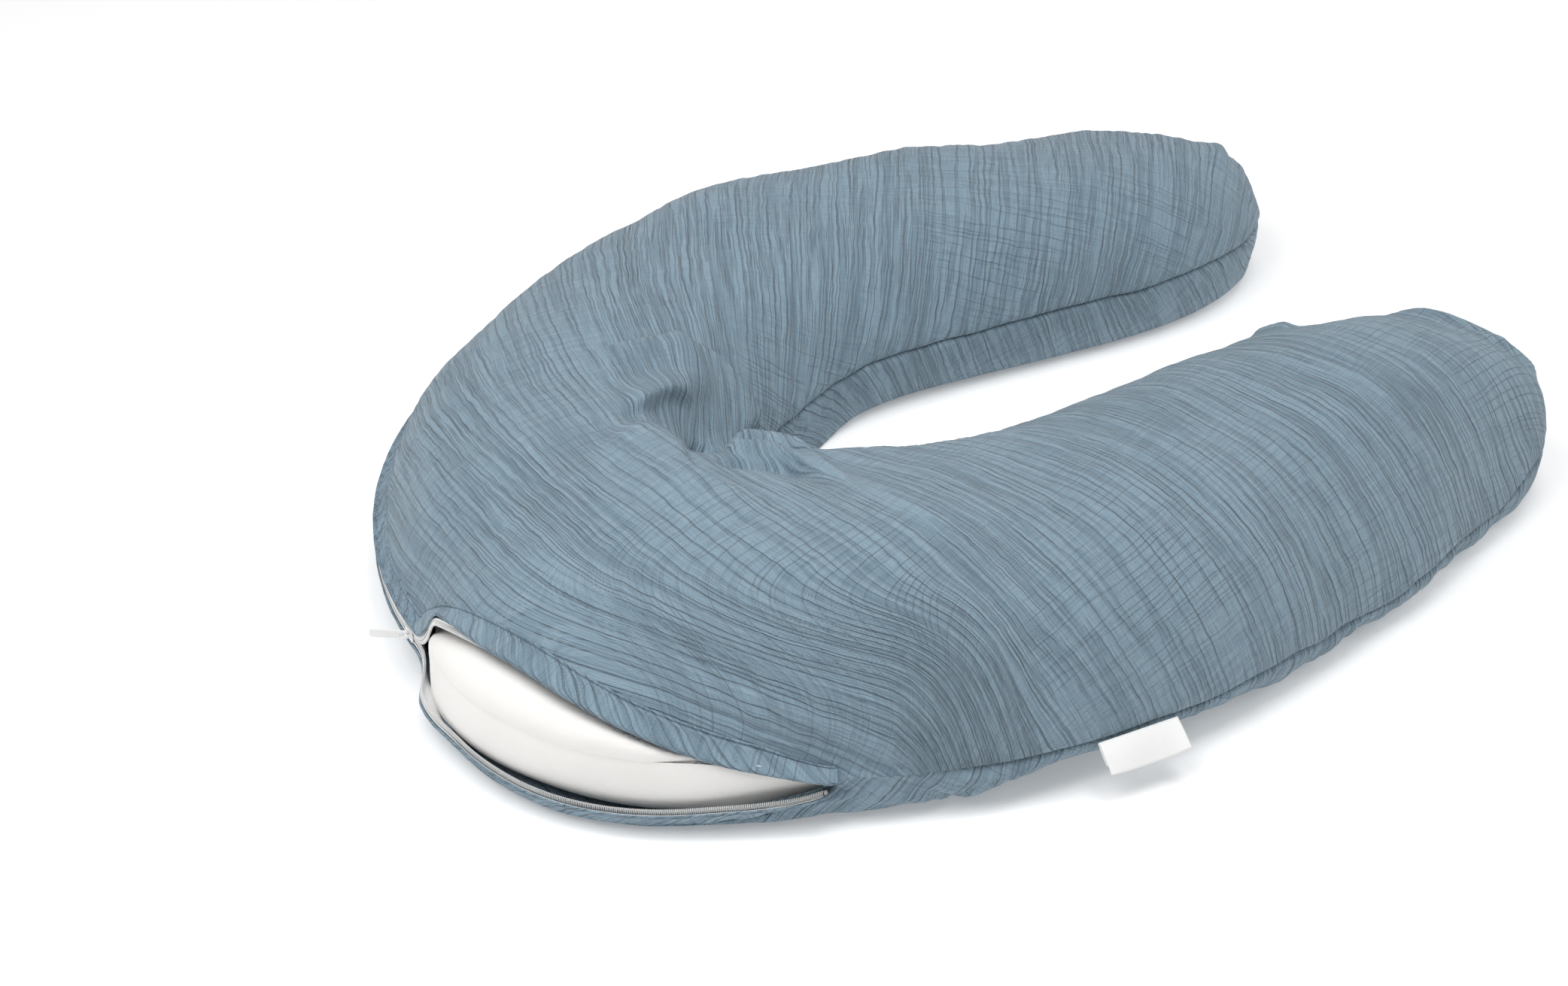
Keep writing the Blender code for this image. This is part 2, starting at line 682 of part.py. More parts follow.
def main():
    for old in list(bpy.data.objects):
        bpy.data.objects.remove(old)
    collection = bpy.data.collections.new("nursing_pillow")
    cutters = bpy.data.collections.new("cutters")
    bpy.context.scene.collection.children.link(collection)
    bpy.context.scene.collection.children.link(cutters)
    cloth = material("crinkled_cloth", CLOTH, 0.9)
    cotton = material("white_cotton", WHITE_COTTON, 0.85)
    white = material("white_tape", WHITE_TAPE, 0.6)
    metal = material("white_metal", WHITE_METAL, 0.35, 0.3)
    beads = material("beads", BEADS, 0.7)
    make_cover(collection, cloth)
    make_inner_pillow(collection, cotton, beads)
    make_zip_half(1, "upper", UPPER_FACING_WIDTH, collection, cloth, white)
    make_zip_half(-1, "lower", LOWER_FACING_WIDTH, collection, cloth, white)
    make_bottom_stop(collection, white)
    pin_height = make_slider(collection, cutters, metal)
    pin = make_pull_tab(pin_height, collection, metal)
    label_edge, label_along = make_side_label(collection, white)
    make_care_label(collection, white)
    print("slider axis", np.round(ZIP_CENTRE, 5), "pull tab pin", np.round(pin, 5))
    print("label edge", np.round(label_edge, 5), "along", np.round(label_along, 5))


main()
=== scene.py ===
"""The looks of a C-shaped nursing pillow: a crinkled gauze cover, its open zip and the bead-filled casing.

Places on the pillow are given as in its design: u runs along the middle line from the end of the +Y arm (0),
round the bend, to the end of the -Y arm (1), and v runs across from the inner seam (-1) to the outer seam (1).
"""

import json
import math

import bmesh
import bpy
import numpy as np
from mathutils import Matrix, Vector


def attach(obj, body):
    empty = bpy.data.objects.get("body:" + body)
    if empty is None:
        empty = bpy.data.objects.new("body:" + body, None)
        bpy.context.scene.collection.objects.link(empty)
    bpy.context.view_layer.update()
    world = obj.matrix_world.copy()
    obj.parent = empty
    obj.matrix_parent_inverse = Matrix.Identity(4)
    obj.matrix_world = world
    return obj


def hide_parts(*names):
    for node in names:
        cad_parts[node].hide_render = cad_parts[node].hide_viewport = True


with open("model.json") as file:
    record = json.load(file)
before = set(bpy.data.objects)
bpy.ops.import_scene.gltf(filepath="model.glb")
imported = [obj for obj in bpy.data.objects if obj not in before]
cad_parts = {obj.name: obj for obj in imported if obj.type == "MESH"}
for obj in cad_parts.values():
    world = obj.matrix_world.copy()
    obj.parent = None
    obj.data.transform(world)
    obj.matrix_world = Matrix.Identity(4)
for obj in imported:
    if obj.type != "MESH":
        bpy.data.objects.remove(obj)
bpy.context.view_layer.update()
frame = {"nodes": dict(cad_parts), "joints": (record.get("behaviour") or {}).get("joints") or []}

# Overall size and the middle line, as in the pillow's design, in metres.
LENGTH = 0.870
WIDTH = 0.710
OUTLINE = (
    (0.518, 0.273, 0.127, 0.121, 0.144),
    (0.265, 0.273, 0.118, 0.125, 0.140),
    (0.019, 0.314, 0.128, 0.128, 0.141),
    (-0.203, 0.217, 0.133, 0.131, 0.141),
    (-0.310, -0.015, 0.136, 0.142, 0.148),
    (-0.210, -0.237, 0.143, 0.139, 0.157),
    (0.021, -0.308, 0.141, 0.135, 0.160),
    (0.267, -0.259, 0.130, 0.125, 0.157),
    (0.523, -0.270, 0.120, 0.113, 0.157),
)
BOX_MIDDLE = (0.0063, -0.0124)
BACK_TIP = 0.190
FRONT_TIP = 0.215
INNER_SEAM_Z = 0.060
OUTER_SEAM_Z = 0.041
TIP_SEAM_Z = 0.050
FLAT_SHARE = 0.70

# The zip's places along the outer seam, and how the opening stands.
STOP_U = 0.405
SLIDER_U = 0.511
CORNER_U = 0.641
OPENING_BULGE = 0.030
LIP_RISE = 0.020
LIP_DROP = 0.024
LIP_FLARE = 0.007
COIL_SPLIT = 0.0022
ZIP_STAND_OFF = 0.0042
COIL_OVERHANG = 0.0042
LIP_TUCK = 0.0020
LEAVE_U = 0.016
LIP_BLEND_U = 0.034
LIP_HOP = 0.0045
CORNER_GAP_U = 0.003

# Cloth layers.
CASING_DEPTH = 0.0040  # from the cover's outside to the casing's
HIDDEN_DEPTH = 0.0070  # how much deeper the casing lies where the cover hides it
BEADS_DEPTH = 0.0025  # from the casing's outside to the beads
CASING_BELLY = 0.015  # how far the casing's lower side stands out in the opening
CASING_SWELL = 0.006  # how far its seam stands out there
CASING_LIFT = 0.017  # how far its seam has risen there

# Stretches of the pillow, in u: where each begins, is full, begins to fade and is gone.
BACK_WALL = (0.24, 0.34, 0.43, 0.49)
BACK_CREST = (0.12, 0.20, 0.27, 0.33)
BACK_HEM = (0.22, 0.34, 0.42, 0.50)
UPRIGHT_SIDE = (0.20, 0.30, 0.44, 0.50)
LIP_WALL = (0.505, 0.535, 0.64, 0.70)
GATHERED_LIP = (0.535, 0.60, 0.655, 0.70)
LABEL_DRAPE = (0.595, 0.645, 0.680, 0.710)
DRAPED_CASING = (0.60, 0.65, 0.74, 0.80)
FRONT_SEAM = (0.765, 0.84, 0.95, 1.0)
FRONT_DRAPE = (0.765, 0.79, 0.96, 0.99)

# How the slack cover leaves its plain outline, in metres.
BACK_TIP_LEAN = 0.016
FRONT_TIP_LEAN = 0.017
BACK_WALL_LEAN = 0.018
LIP_WALL_LEAN = 0.010
FRONT_SEAM_DIP = 0.010
BACK_HEM_DIP = 0.015
BACK_CREST_RISE = 0.008
BACK_TIP_FALL = 0.007

# How far closing the C has turned the cloth's threads, in degrees, at equal steps of u.
TURNED = (-30, -30, -27, -14, 4, 14, 20, 21, 22)

# Grid sizes: along and across.
TOP_GRID = (680, 142)
BOTTOM_GRID = (560, 90)
CASING_GRID = (300, 60)
BEADS_GRID = (260, 56)
TIP_JOIN = 1e-5  # points closer than this are joined at the arms' ends


# ---------------------------------------------------------------- shape of the pillow


def spline(values):
    """A natural cubic through values at equal steps of 0 to 1: returns its value and its slope at any u."""
    values = np.asarray(values, float)
    spans = len(values) - 1
    matrix = np.eye(spans + 1)
    right = np.zeros(spans + 1)
    for i in range(1, spans):
        matrix[i, i - 1 : i + 2] = (1, 4, 1)
        right[i] = 6 * (values[i - 1] - 2 * values[i] + values[i + 1])
    bend = np.linalg.solve(matrix, right)

    def at(u):
        place = np.clip(u, 0, 1) * spans
        i = np.minimum(place.astype(int), spans - 1)
        f = place - i
        g = 1 - f
        value = g * values[i] + f * values[i + 1]
        value = value + ((g**3 - g) * bend[i] + (f**3 - f) * bend[i + 1]) / 6
        slope = values[i + 1] - values[i]
        slope = slope + ((1 - 3 * g**2) * bend[i] + (3 * f**2 - 1) * bend[i + 1]) / 6
        return value, slope * spans

    return at


COLUMNS = list(zip(*OUTLINE))
MIDDLE_X = spline(np.array(COLUMNS[0]) * LENGTH - BOX_MIDDLE[0])
MIDDLE_Y = spline(np.array(COLUMNS[1]) * WIDTH - BOX_MIDDLE[1])
INNER_HALF = spline(COLUMNS[2])
OUTER_HALF = spline(COLUMNS[3])
HEIGHT = spline(COLUMNS[4])
CLOTH_TURN = spline(np.radians(TURNED))


def smooth(value, low, high):
    """0 up to low, 1 from high on, with an even ease between."""
    share = np.clip((value - low) / (high - low), 0, 1)
    return share * share * (3 - 2 * share)


def span(u, low, full, fading, gone):
    """1 along a stretch of the pillow, easing in from low to full and out from fading to gone."""
    return smooth(u, low, full) * (1 - smooth(u, fading, gone))


def unit(vectors):
    return vectors / np.maximum(np.linalg.norm(vectors, axis=-1), 1e-9)[..., None]


def middle(u):
    """Point on the middle line and the level unit vector that points to the outside of the C."""
    x, dx = MIDDLE_X(u)
    y, dy = MIDDLE_Y(u)
    size = np.hypot(dx, dy)
    return np.stack([x, y], -1), np.stack([dy, -dx], -1) / size[..., None]


FINE_U = np.linspace(0, 1, 801)
FINE_STEP = np.linalg.norm(np.diff(middle(FINE_U)[0], axis=0), axis=1)
FINE_ARC = np.concatenate([[0], np.cumsum(FINE_STEP)])


def plain_outer(u):
    point, out = middle(u)
    return point + out * OUTER_HALF(u)[0][..., None]


def circle_through(a, b, c):
    """Centre and radius of the circle through three points."""
    rows = 2 * np.array([b - a, c - a])
    centre = np.linalg.solve(rows, [b @ b - a @ a, c @ c - a @ a])
    return centre, np.linalg.norm(a - centre)


ARC_U = np.array([STOP_U, (STOP_U + SLIDER_U) / 2, SLIDER_U])
ZIP_CENTRE, SEAM_RADIUS = circle_through(*plain_outer(ARC_U))
ZIP_RADIUS = SEAM_RADIUS + ZIP_STAND_OFF


def opening(u):
    """Share of the way along the opening, from the slider (0) to its open corner (1)."""
    return np.clip((u - SLIDER_U) / (CORNER_U - SLIDER_U), 0, 1)


def bulge(u, v):
    """How far the filling pushes the open side out, in metres."""
    return OPENING_BULGE * np.sin(math.pi * opening(u) ** 0.8) ** 1.5 * smooth(v, 0.4, 1.0)


def outer_half(u):
    """Half-width on the outer side, drawn to the zip's arc along the closed zip."""
    plain = OUTER_HALF(u)[0]
    point, out = middle(u)
    along = np.sum((point - ZIP_CENTRE) * out, -1)
    apart = np.sum((point - ZIP_CENTRE) ** 2, -1) - SEAM_RADIUS**2
    arc = -along + np.sqrt(np.maximum(along**2 - apart, 0))
    on_arc = span(u, STOP_U - 0.05, STOP_U - 0.01, SLIDER_U + 0.01, SLIDER_U + 0.05)
    return plain + (arc - plain) * on_arc


def ends(u, inset):
    """How full the section is near the arms' rounded ends: 0 at the tip, 1 along the arm."""
    total = FINE_ARC[-1]
    place = np.interp(u, FINE_U, FINE_ARC)
    near = np.minimum((place - inset) / (BACK_TIP - inset), (total - inset - place) / (FRONT_TIP - inset))
    return np.sqrt(np.clip(1 - (1 - np.clip(near, 0, 1)) ** 2, 0, 1))


def trimmed(u, inset):
    """u with the middle line shortened by the inset at both ends."""
    total = FINE_ARC[-1]
    place = inset + np.interp(u, FINE_U, FINE_ARC) * (total - 2 * inset) / total
    return np.interp(place, FINE_ARC, FINE_U)


def lip_edge(u):
    """How far the upper lip is drawn back from the seam, in metres."""
    return LIP_RISE * np.sin(math.pi * opening(u) ** 0.6) ** 2


def lip_place(u):
    """v of the upper lip, on a skin that has no opening."""
    return 1 - lip_edge(u) / OUTER_HALF(u)[0]


def lip_sink(u):
    """How far the lower lip hangs below the seam, in metres."""
    return LIP_DROP * np.sqrt(np.abs(np.sin(math.pi * opening(u))))


def lip_stand(u):
    """How far the lower lip stands out from the seam, in metres."""
    return LIP_FLARE * np.abs(np.sin(math.pi * opening(u)))


def casing_show(u):
    """How far the casing swells out of the opening, from 0 to 1."""
    return span(u, SLIDER_U - 0.004, SLIDER_U + 0.018, CORNER_U - 0.035, CORNER_U)


def lean_in(u, v, side, cover):
    """How far a side is shifted towards the outside of the C, in metres."""
    shift = BACK_TIP_LEAN * (1 - smooth(u, 0.08, 0.24)) * smooth(-v, 0.1, 1.0)
    shift = shift - FRONT_TIP_LEAN * smooth(u, 0.87, 0.95) * smooth(v, 0.1, 1.0)
    if side < 0:
        wall = np.sin(math.pi * np.clip((np.abs(v) - 0.80) / 0.20, 0, 1))
        shift = shift - BACK_WALL_LEAN * span(u, *BACK_WALL) * wall * (v < 0)
        if cover:
            shift = shift + LIP_WALL_LEAN * span(u, *LIP_WALL) * wall * (v > 0)
    return shift


def seam_level(v, full):
    """Height of the straight line between the inner and the outer seam, at any v."""
    inner_z = TIP_SEAM_Z + (INNER_SEAM_Z - TIP_SEAM_Z) * full
    outer_z = TIP_SEAM_Z + (OUTER_SEAM_Z - TIP_SEAM_Z) * full
    return inner_z + (outer_z - inner_z) * (v + 1) / 2


def crown_height(u, v, seam, reach, full, inset):
    """Height of the upper skin, which domes up from the seams."""
    crown = HEIGHT(u)[0] * (0.25 + 0.75 * full**0.8) - inset
    outer_rise = BACK_CREST_RISE * span(u, *BACK_CREST) - BACK_TIP_FALL * (1 - smooth(u, 0.06, 0.15))
    crown = crown + outer_rise * smooth(v, -0.3, 0.5)
    rise = np.maximum(1 - np.abs(reach) ** 2.3, 0) ** 0.62
    return seam + np.maximum(crown - seam, 0) * rise


def wall_height(u, v, seam, drop, inset):
    """Height of the lower skin, which lies flat in the middle and curls up to the seams."""
    top = np.where(v > 0, seam - drop * v, seam)
    undercut = smooth(u, 0.645, 0.725) * (1 - 0.8 * smooth(u, 0.74, 0.80)) * smooth(v, 0.0, 0.3)
    upright = span(u, *UPRIGHT_SIDE) * smooth(-v, 0.0, 0.3)
    flat = FLAT_SHARE - 0.24 * undercut + 0.19 * upright
    curl = np.clip((np.abs(v) - flat) / (1 - flat), 0, 1)
    return inset + (top - inset) * (1 - np.sqrt(np.maximum(1 - curl ** (3 - 1.5 * undercut), 0)))


def surface(u, v, side, inset=0.0, open_zip=True):
    """Points of the upper (side 1) or lower (side -1) skin, inset by a depth of cloth.

    The casing is the skin with open_zip off: it swells out where the cover's lips stand open.
    """
    u = trimmed(np.asarray(u, float), inset)
    v = np.asarray(v, float)
    full = ends(u, inset)
    point, out = middle(u)
    flare = lip_stand(u) if open_zip and side < 0 else 0.0
    swell = 0.0 if open_zip else casing_show(u) * smooth(v, lip_place(u) - 0.01, 1.0)
    inner = (INNER_HALF(u)[0] - inset) * full
    outer = (outer_half(u) - inset) * full + flare + CASING_SWELL * swell
    half = np.where(v < 0, inner, outer)
    seam = seam_level(v, full) + CASING_LIFT * swell
    seam = seam - FRONT_SEAM_DIP * span(u, *FRONT_SEAM) * smooth(v, 0.3, 1.0)
    if side > 0:
        lip = lip_edge(u) if open_zip else 0.0
        reach = np.where(v > 0, v * (1 - lip / np.maximum(outer, 0.02)), v)
        z = crown_height(u, v, seam, reach, full, inset)
        v = reach
    else:
        z = wall_height(u, v, seam, lip_sink(u) if open_zip else 0.0, inset)
    across = half * v + bulge(u, v) + lean_in(u, v, side, open_zip) * full
    if side < 0 and not open_zip:
        slack = 1 - 0.35 * np.sin(math.pi * opening(u)) ** 2
        belly = np.sin(math.pi * np.clip((v - 0.84) / 0.16, 0, 1))
        across = across + CASING_BELLY * casing_show(u) * slack * belly
    xy = point + out * across[..., None]
    return np.concatenate([xy, z[..., None]], -1)


# ---------------------------------------------------------------- waves in cloth


def waves(x, y, seed):
    """Smooth uneven waves, from about -1 to 1, one to each unit of x and y."""
    turns = np.random.default_rng(seed).uniform(0, 2 * math.pi, (128, 128))
    xi = np.floor(x).astype(int)
    yi = np.floor(y).astype(int)
    fx = x - xi
    fy = y - yi

    def corner(i, j):
        turn = turns[(xi + i) % 128, (yi + j) % 128]
        return np.cos(turn) * (fx - i) + np.sin(turn) * (fy - j)

    sx = fx**3 * (fx * (fx * 6 - 15) + 10)
    sy = fy**3 * (fy * (fy * 6 - 15) + 10)
    low = corner(0, 0) * (1 - sx) + corner(1, 0) * sx
    high = corner(0, 1) * (1 - sx) + corner(1, 1) * sx
    return (low * (1 - sy) + high * sy) * 1.5


def grid_normals(points):
    """Unit normals of a grid of points, upwards on the upper skin."""
    along = np.gradient(points, axis=0)
    across = np.gradient(points, axis=1)
    normals = np.cross(across, along)
    normals[0] = normals[1]
    normals[-1] = normals[-2]
    return unit(normals)


def row_lengths(points):
    """Length along each row of a grid, from its first point."""
    steps = np.linalg.norm(np.diff(points, axis=1), axis=2)
    return np.concatenate([np.zeros((len(points), 1)), np.cumsum(steps, axis=1)], axis=1)


def cloth_places(u, points):
    """Where each point lies on the flat cut cloth, in metres: across its crinkles, then along them."""
    heading_x = MIDDLE_X(FINE_U)[1]
    heading_y = MIDDLE_Y(FINE_U)[1]
    heading = np.unwrap(np.arctan2(heading_y, heading_x)) - CLOTH_TURN(FINE_U)[0]
    ahead = np.stack([np.cos(heading), np.sin(heading)], -1)
    step = (ahead[1:] + ahead[:-1]) / 2 * FINE_STEP[:, None]
    line = np.concatenate([[[0, 0]], np.cumsum(step, axis=0)])
    side = np.stack([ahead[:, 1], -ahead[:, 0]], -1)
    girth = row_lengths(points)
    girth -= girth[:, girth.shape[1] // 2][:, None]
    place = [np.interp(u, FINE_U, line[:, k]) + np.interp(u, FINE_U, side[:, k]) * girth for k in (0, 1)]
    return np.stack(place, -1)


def curve_through(knots, count=90):
    """u and v along a smooth curve through a few chosen places."""
    t = np.linspace(0, 1, count)
    columns = list(zip(*knots))
    return spline(columns[0])(t)[0], spline(columns[1])(t)[0]


class Relief:
    """Heights above a skin, and sideways shifts on it, that folds and hollows add up to."""

    def __init__(self, points, normals, side):
        self.points = points
        self.normals = normals
        self.side = side
        self.height = np.zeros(points.shape[:2])
        self.shift = np.zeros(points.shape)

    def fold(self, knots, rise, soft, sharp, lean=0.0, start=0.3, end=0.3):
        """A ridge along a curve.

        Its left side, seen along the curve from outside, falls over a width of soft and its right side over a
        width of sharp, and its crest leans to the right.
        """
        u, v = curve_through(knots)
        line = surface(u, v, self.side)
        reach = 3 * max(soft, sharp)
        near = np.all((self.points > line.min(0) - reach) & (self.points < line.max(0) + reach), axis=2)
        spots = self.points[near]
        gap = np.linalg.norm(spots[:, None] - line[None], axis=2)
        k = gap.argmin(1)
        tangent = unit(np.gradient(line, axis=0))[k]
        left = unit(np.cross(self.normals[near], tangent))
        away = np.sum((spots - line[k]) * left, -1)
        share = k / (len(line) - 1)
        beyond = np.sum((spots - line[k]) * tangent, -1)
        width = np.where(away > 0, soft, sharp)
        crest = np.exp(-((away / width) ** 2) - (beyond / max(soft, sharp)) ** 2)
        taper = span(share, 0, start, 1 - end, 1)
        self.height[near] += rise * taper * crest
        self.shift[near] -= left * (lean * taper * crest)[:, None]

    def hollow(self, u, v, depth, radius):
        """A round dent at one place."""
        apart = np.sum((self.points - surface(np.array(u), np.array(v), self.side)) ** 2, -1)
        self.height -= depth * np.exp(-apart / radius**2)


# Each fold's curve in u and v, then its rise, soft, sharp, lean, start and end.
BODY_FOLDS = {
    "shoulder": (
        ((0.500, -0.82), (0.550, -0.78), (0.610, -0.75), (0.680, -0.72), (0.780, -0.68)),
        (0.012, 0.034, 0.032, 0.0, 0.15, 0.35),
    ),
    "collar": (
        ((0.394, -0.98), (0.387, -0.84), (0.388, -0.71), (0.399, -0.54))
        + ((0.411, -0.34), (0.421, -0.10), (0.426, 0.12)),
        (0.013, 0.030, 0.005, 0.008, 0.08, 0.50),
    ),
    "collar_crest": (
        ((0.405, -0.40), (0.403, -0.50), (0.408, -0.60), (0.416, -0.68), (0.428, -0.75)),
        (0.007, 0.009, 0.018, 0.0, 0.35, 0.25),
    ),
    "pinch": (
        ((0.488, -0.24), (0.466, -0.40), (0.450, -0.49), (0.440, -0.58), (0.430, -0.70)),
        (0.010, 0.014, 0.005, 0.004, 0.25, 0.20),
    ),
    "brow": (
        ((0.606, -0.12), (0.590, -0.08), (0.566, -0.14), (0.549, -0.25))
        + ((0.531, -0.32), (0.509, -0.32), (0.492, -0.26)),
        (0.009, 0.035, 0.006, 0.003, 0.35, 0.20),
    ),
    "roll": (
        ((0.556, -0.54), (0.574, -0.65), (0.597, -0.68), (0.617, -0.62))
        + ((0.635, -0.42), (0.648, -0.22), (0.662, 0.02)),
        (0.010, 0.006, 0.005, 0.0, 0.10, 0.50),
    ),
    "tuck": (
        ((0.562, -0.48), (0.580, -0.54), (0.600, -0.57), (0.620, -0.48), (0.636, -0.30), (0.650, -0.10)),
        (0.010, 0.005, 0.004, 0.0, 0.10, 0.55),
    ),
    "under_tuck": (
        ((0.566, -0.36), (0.584, -0.43), (0.600, -0.47), (0.615, -0.44), (0.632, -0.30), (0.650, -0.04)),
        (-0.009, 0.004, 0.008, 0.0, 0.15, 0.55),
    ),
    "pit": (
        ((0.455, -0.80), (0.490, -0.77), (0.520, -0.67), (0.542, -0.52), (0.556, -0.38)),
        (-0.027, 0.011, 0.010, 0.0, 0.15, 0.25),
    ),
}

# The gathers above the open lip: each one's curve and rise.
LIP_FOLDS = (
    (((0.566, 0.40), (0.560, 0.58), (0.566, 0.72), (0.580, 0.84)), 0.0022),
    (((0.584, 0.44), (0.574, 0.60), (0.580, 0.74), (0.593, 0.86)), 0.0030),
    (((0.591, 0.53), (0.586, 0.68), (0.598, 0.81), (0.612, 0.92)), 0.0036),
    (((0.606, 0.58), (0.602, 0.71), (0.612, 0.84), (0.624, 0.94)), 0.0032),
    (((0.622, 0.62), (0.618, 0.76), (0.626, 0.88), (0.634, 0.96)), 0.0030),
    (((0.640, 0.60), (0.635, 0.75), (0.636, 0.87), (0.640, 0.97)), 0.0026),
)
LIP_FOLD_FORM = (0.0055, 0.0038, 0.001, 0.35, 0.12)  # soft, sharp, lean, start, end


ARM_END_FOLDS = {
    "ear": (
        ((0.940, -0.70), (0.954, -0.56), (0.968, -0.42), (0.984, -0.36), (0.993, -0.10)),
        (0.009, 0.005, 0.012, 0.004),
    ),
    "hem": (((0.962, -0.20), (0.978, -0.10), (0.988, 0.06), (0.994, 0.30)), (0.006, 0.006, 0.006)),
    "side_tuck": (((0.890, -0.80), (0.896, -0.68), (0.899, -0.55)), (0.006, 0.008, 0.008)),
    "back_arm_end": (((0.040, -0.50), (0.022, -0.10), (0.012, 0.40)), (0.005, 0.012, 0.008)),
}

# Each dent's u and v, depth and radius.
HOLLOWS = ((0.462, -0.76, 0.013, 0.020), (0.490, -0.60, 0.014, 0.028))
ARM_END_HOLLOW = (0.975, -0.62, 0.010, 0.020)


def body_folds(relief):
    """The large folds of the upper cover: the bend's collapsed inner side and the gathers at the open lip."""
    for knots, form in BODY_FOLDS.values():
        relief.fold(knots, *form)
    for dent in HOLLOWS:
        relief.hollow(*dent)
    for knots, rise in LIP_FOLDS:
        relief.fold(knots, rise, *LIP_FOLD_FORM)


def arm_end_folds(relief):
    """Loose cloth past the filling at the ends of both arms."""
    for knots, form in ARM_END_FOLDS.values():
        relief.fold(knots, *form)
    relief.hollow(*ARM_END_HOLLOW)


def lumps(points):
    """Slow unevenness of a bead filling, in metres."""
    x, y = points[..., 0], points[..., 1]
    return 0.0042 * waves(x * 7, y * 7, 11) + 0.0020 * waves(x * 17, y * 17, 12)


def seam_pucker(u, gap, seed, size):
    """Small pulls across a seam, fading over the cloth next to it. gap is the distance from the seam."""
    place = np.interp(u, FINE_U, FINE_ARC)
    pulls = waves(place * 62, gap * 8, seed) + 0.6 * waves(place * 130, gap * 15, seed + 1)
    return size * pulls * np.exp(-((gap / 0.020) ** 2)) * (1 - np.exp(-((gap / 0.004) ** 2)))


def seam_groove(gap):
    """The cloth turns in at a seam."""
    return -0.0022 * np.exp(-((gap / 0.0026) ** 2))


def gap_to_seams(points):
    """Distance of each point along its row from the inner seam and from the outer one."""
    girth = row_lengths(points)
    return girth, girth[:, -1:] - girth


def seam_wander(u, v):
    """How far the sewn edge wanders out and up, in metres: puckers of a seam that is tighter than its cloth."""
    place = np.interp(u, FINE_U, FINE_ARC)
    at_edge = smooth(np.abs(v), 0.80, 1.0)
    loose = smooth(u, 0.74, 0.80)
    closed = 1 - span(u, STOP_U - 0.04, STOP_U, CORNER_U, CORNER_U + 0.03) * (v > 0)
    inner = 0.0022 * waves(place * 24, 0 * place + 3.3, 21)
    outer = 0.0018 * waves(place * 26, 0 * place + 8.1, 22)
    outer = outer + loose * 0.0075 * waves(place * 21, 0 * place + 5.2, 23)
    amount = np.where(v < 0, inner, outer)
    ends_fade = span(u, 0.0, 0.03, 0.97, 1.0)
    dip = -BACK_HEM_DIP * span(u, *BACK_HEM) * smooth(-v, 0.55, 1.0)
    return amount * at_edge * closed * ends_fade + dip


def grid_places(side, along, across):
    """u and v of a grid whose steps are closer together at both tips and at both seams."""
    t = np.linspace(0, 1, along + 1)
    u = 0.78 * t + 0.22 * (0.5 - 0.5 * np.cos(math.pi * t))
    v_fine = np.sin(np.linspace(-1, 1, 2001) * math.pi / 2)
    section = surface(np.full_like(v_fine, 0.36), v_fine, side)
    girth = np.concatenate([[0], np.cumsum(np.linalg.norm(np.diff(section, axis=0), axis=1))])
    s = np.linspace(-1, 1, across + 1)
    s = s + 0.13 * np.sin(math.pi * s)
    v = np.interp((s + 1) / 2 * girth[-1], girth, v_fine)
    return np.meshgrid(u, v, indexing="ij")


# ---------------------------------------------------------------- meshes


def new_mesh(name, points, faces, places=None):
    """A smooth mesh of points and faces, with the cloth's own flat places as its UV map."""
    mesh = bpy.data.meshes.new(name)
    mesh.from_pydata(points.reshape(-1, 3), [], faces)
    if places is not None:
        layer = mesh.uv_layers.new(name="cloth")
        corners = np.zeros(len(mesh.loops), int)
        mesh.loops.foreach_get("vertex_index", corners)
        layer.data.foreach_set("uv", places.reshape(-1, 2)[corners].ravel())
    mesh.shade_smooth()
    return mesh


def turn_out(mesh):
    """Turns every face of a closed mesh outwards."""
    work = bmesh.new()
    work.from_mesh(mesh)
    bmesh.ops.recalc_face_normals(work, faces=work.faces)
    work.to_mesh(mesh)
    work.free()


def grid_faces(rows, columns, closed=False, flip=False):
    """Quads of a grid of rows by columns. closed joins the last column to the first."""
    index = np.arange(rows * columns).reshape(rows, columns)
    if closed:
        index = np.concatenate([index, index[:, :1]], axis=1)
    quads = np.stack([index[:-1, :-1], index[1:, :-1], index[1:, 1:], index[:-1, 1:]], -1).reshape(-1, 4)
    return quads[:, ::-1] if flip else quads


def add_piece(name, mesh, finish, body, slot, *nodes):
    """Puts a piece on its body with its finish, and hides the nodes it stands for. slot is not used."""
    piece = bpy.data.objects.new(name, mesh)
    bpy.context.scene.collection.objects.link(piece)
    mesh.materials.append(finish)
    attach(piece, body)
    if nodes:
        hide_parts(*nodes)
    return piece


def close_tips(mesh):
    """Joins the points that meet at each arm's end."""
    work = bmesh.new()
    work.from_mesh(mesh)
    bmesh.ops.remove_doubles(work, verts=work.verts, dist=TIP_JOIN)
    work.to_mesh(mesh)
    work.free()
    mesh.shade_smooth()


def skin_piece(name, points, places, side, finish, slot, *nodes):
    mesh = new_mesh(name, points, grid_faces(*points.shape[:2], flip=side > 0), places)
    close_tips(mesh)
    return add_piece(name, mesh, finish, "pillow", slot, *nodes)


def closed_faces(count, around):
    """Faces of a body swept through rings of points, with a cap at each end."""
    faces = grid_faces(count, around, closed=True).tolist()
    return faces + [list(range(around))[::-1], list(range((count - 1) * around, count * around))]


def swept(name, rings, places=None):
    """A closed body swept through rings of points."""
    mesh = new_mesh(name, rings, closed_faces(*rings.shape[:2]), places)
    turn_out(mesh)
    return mesh


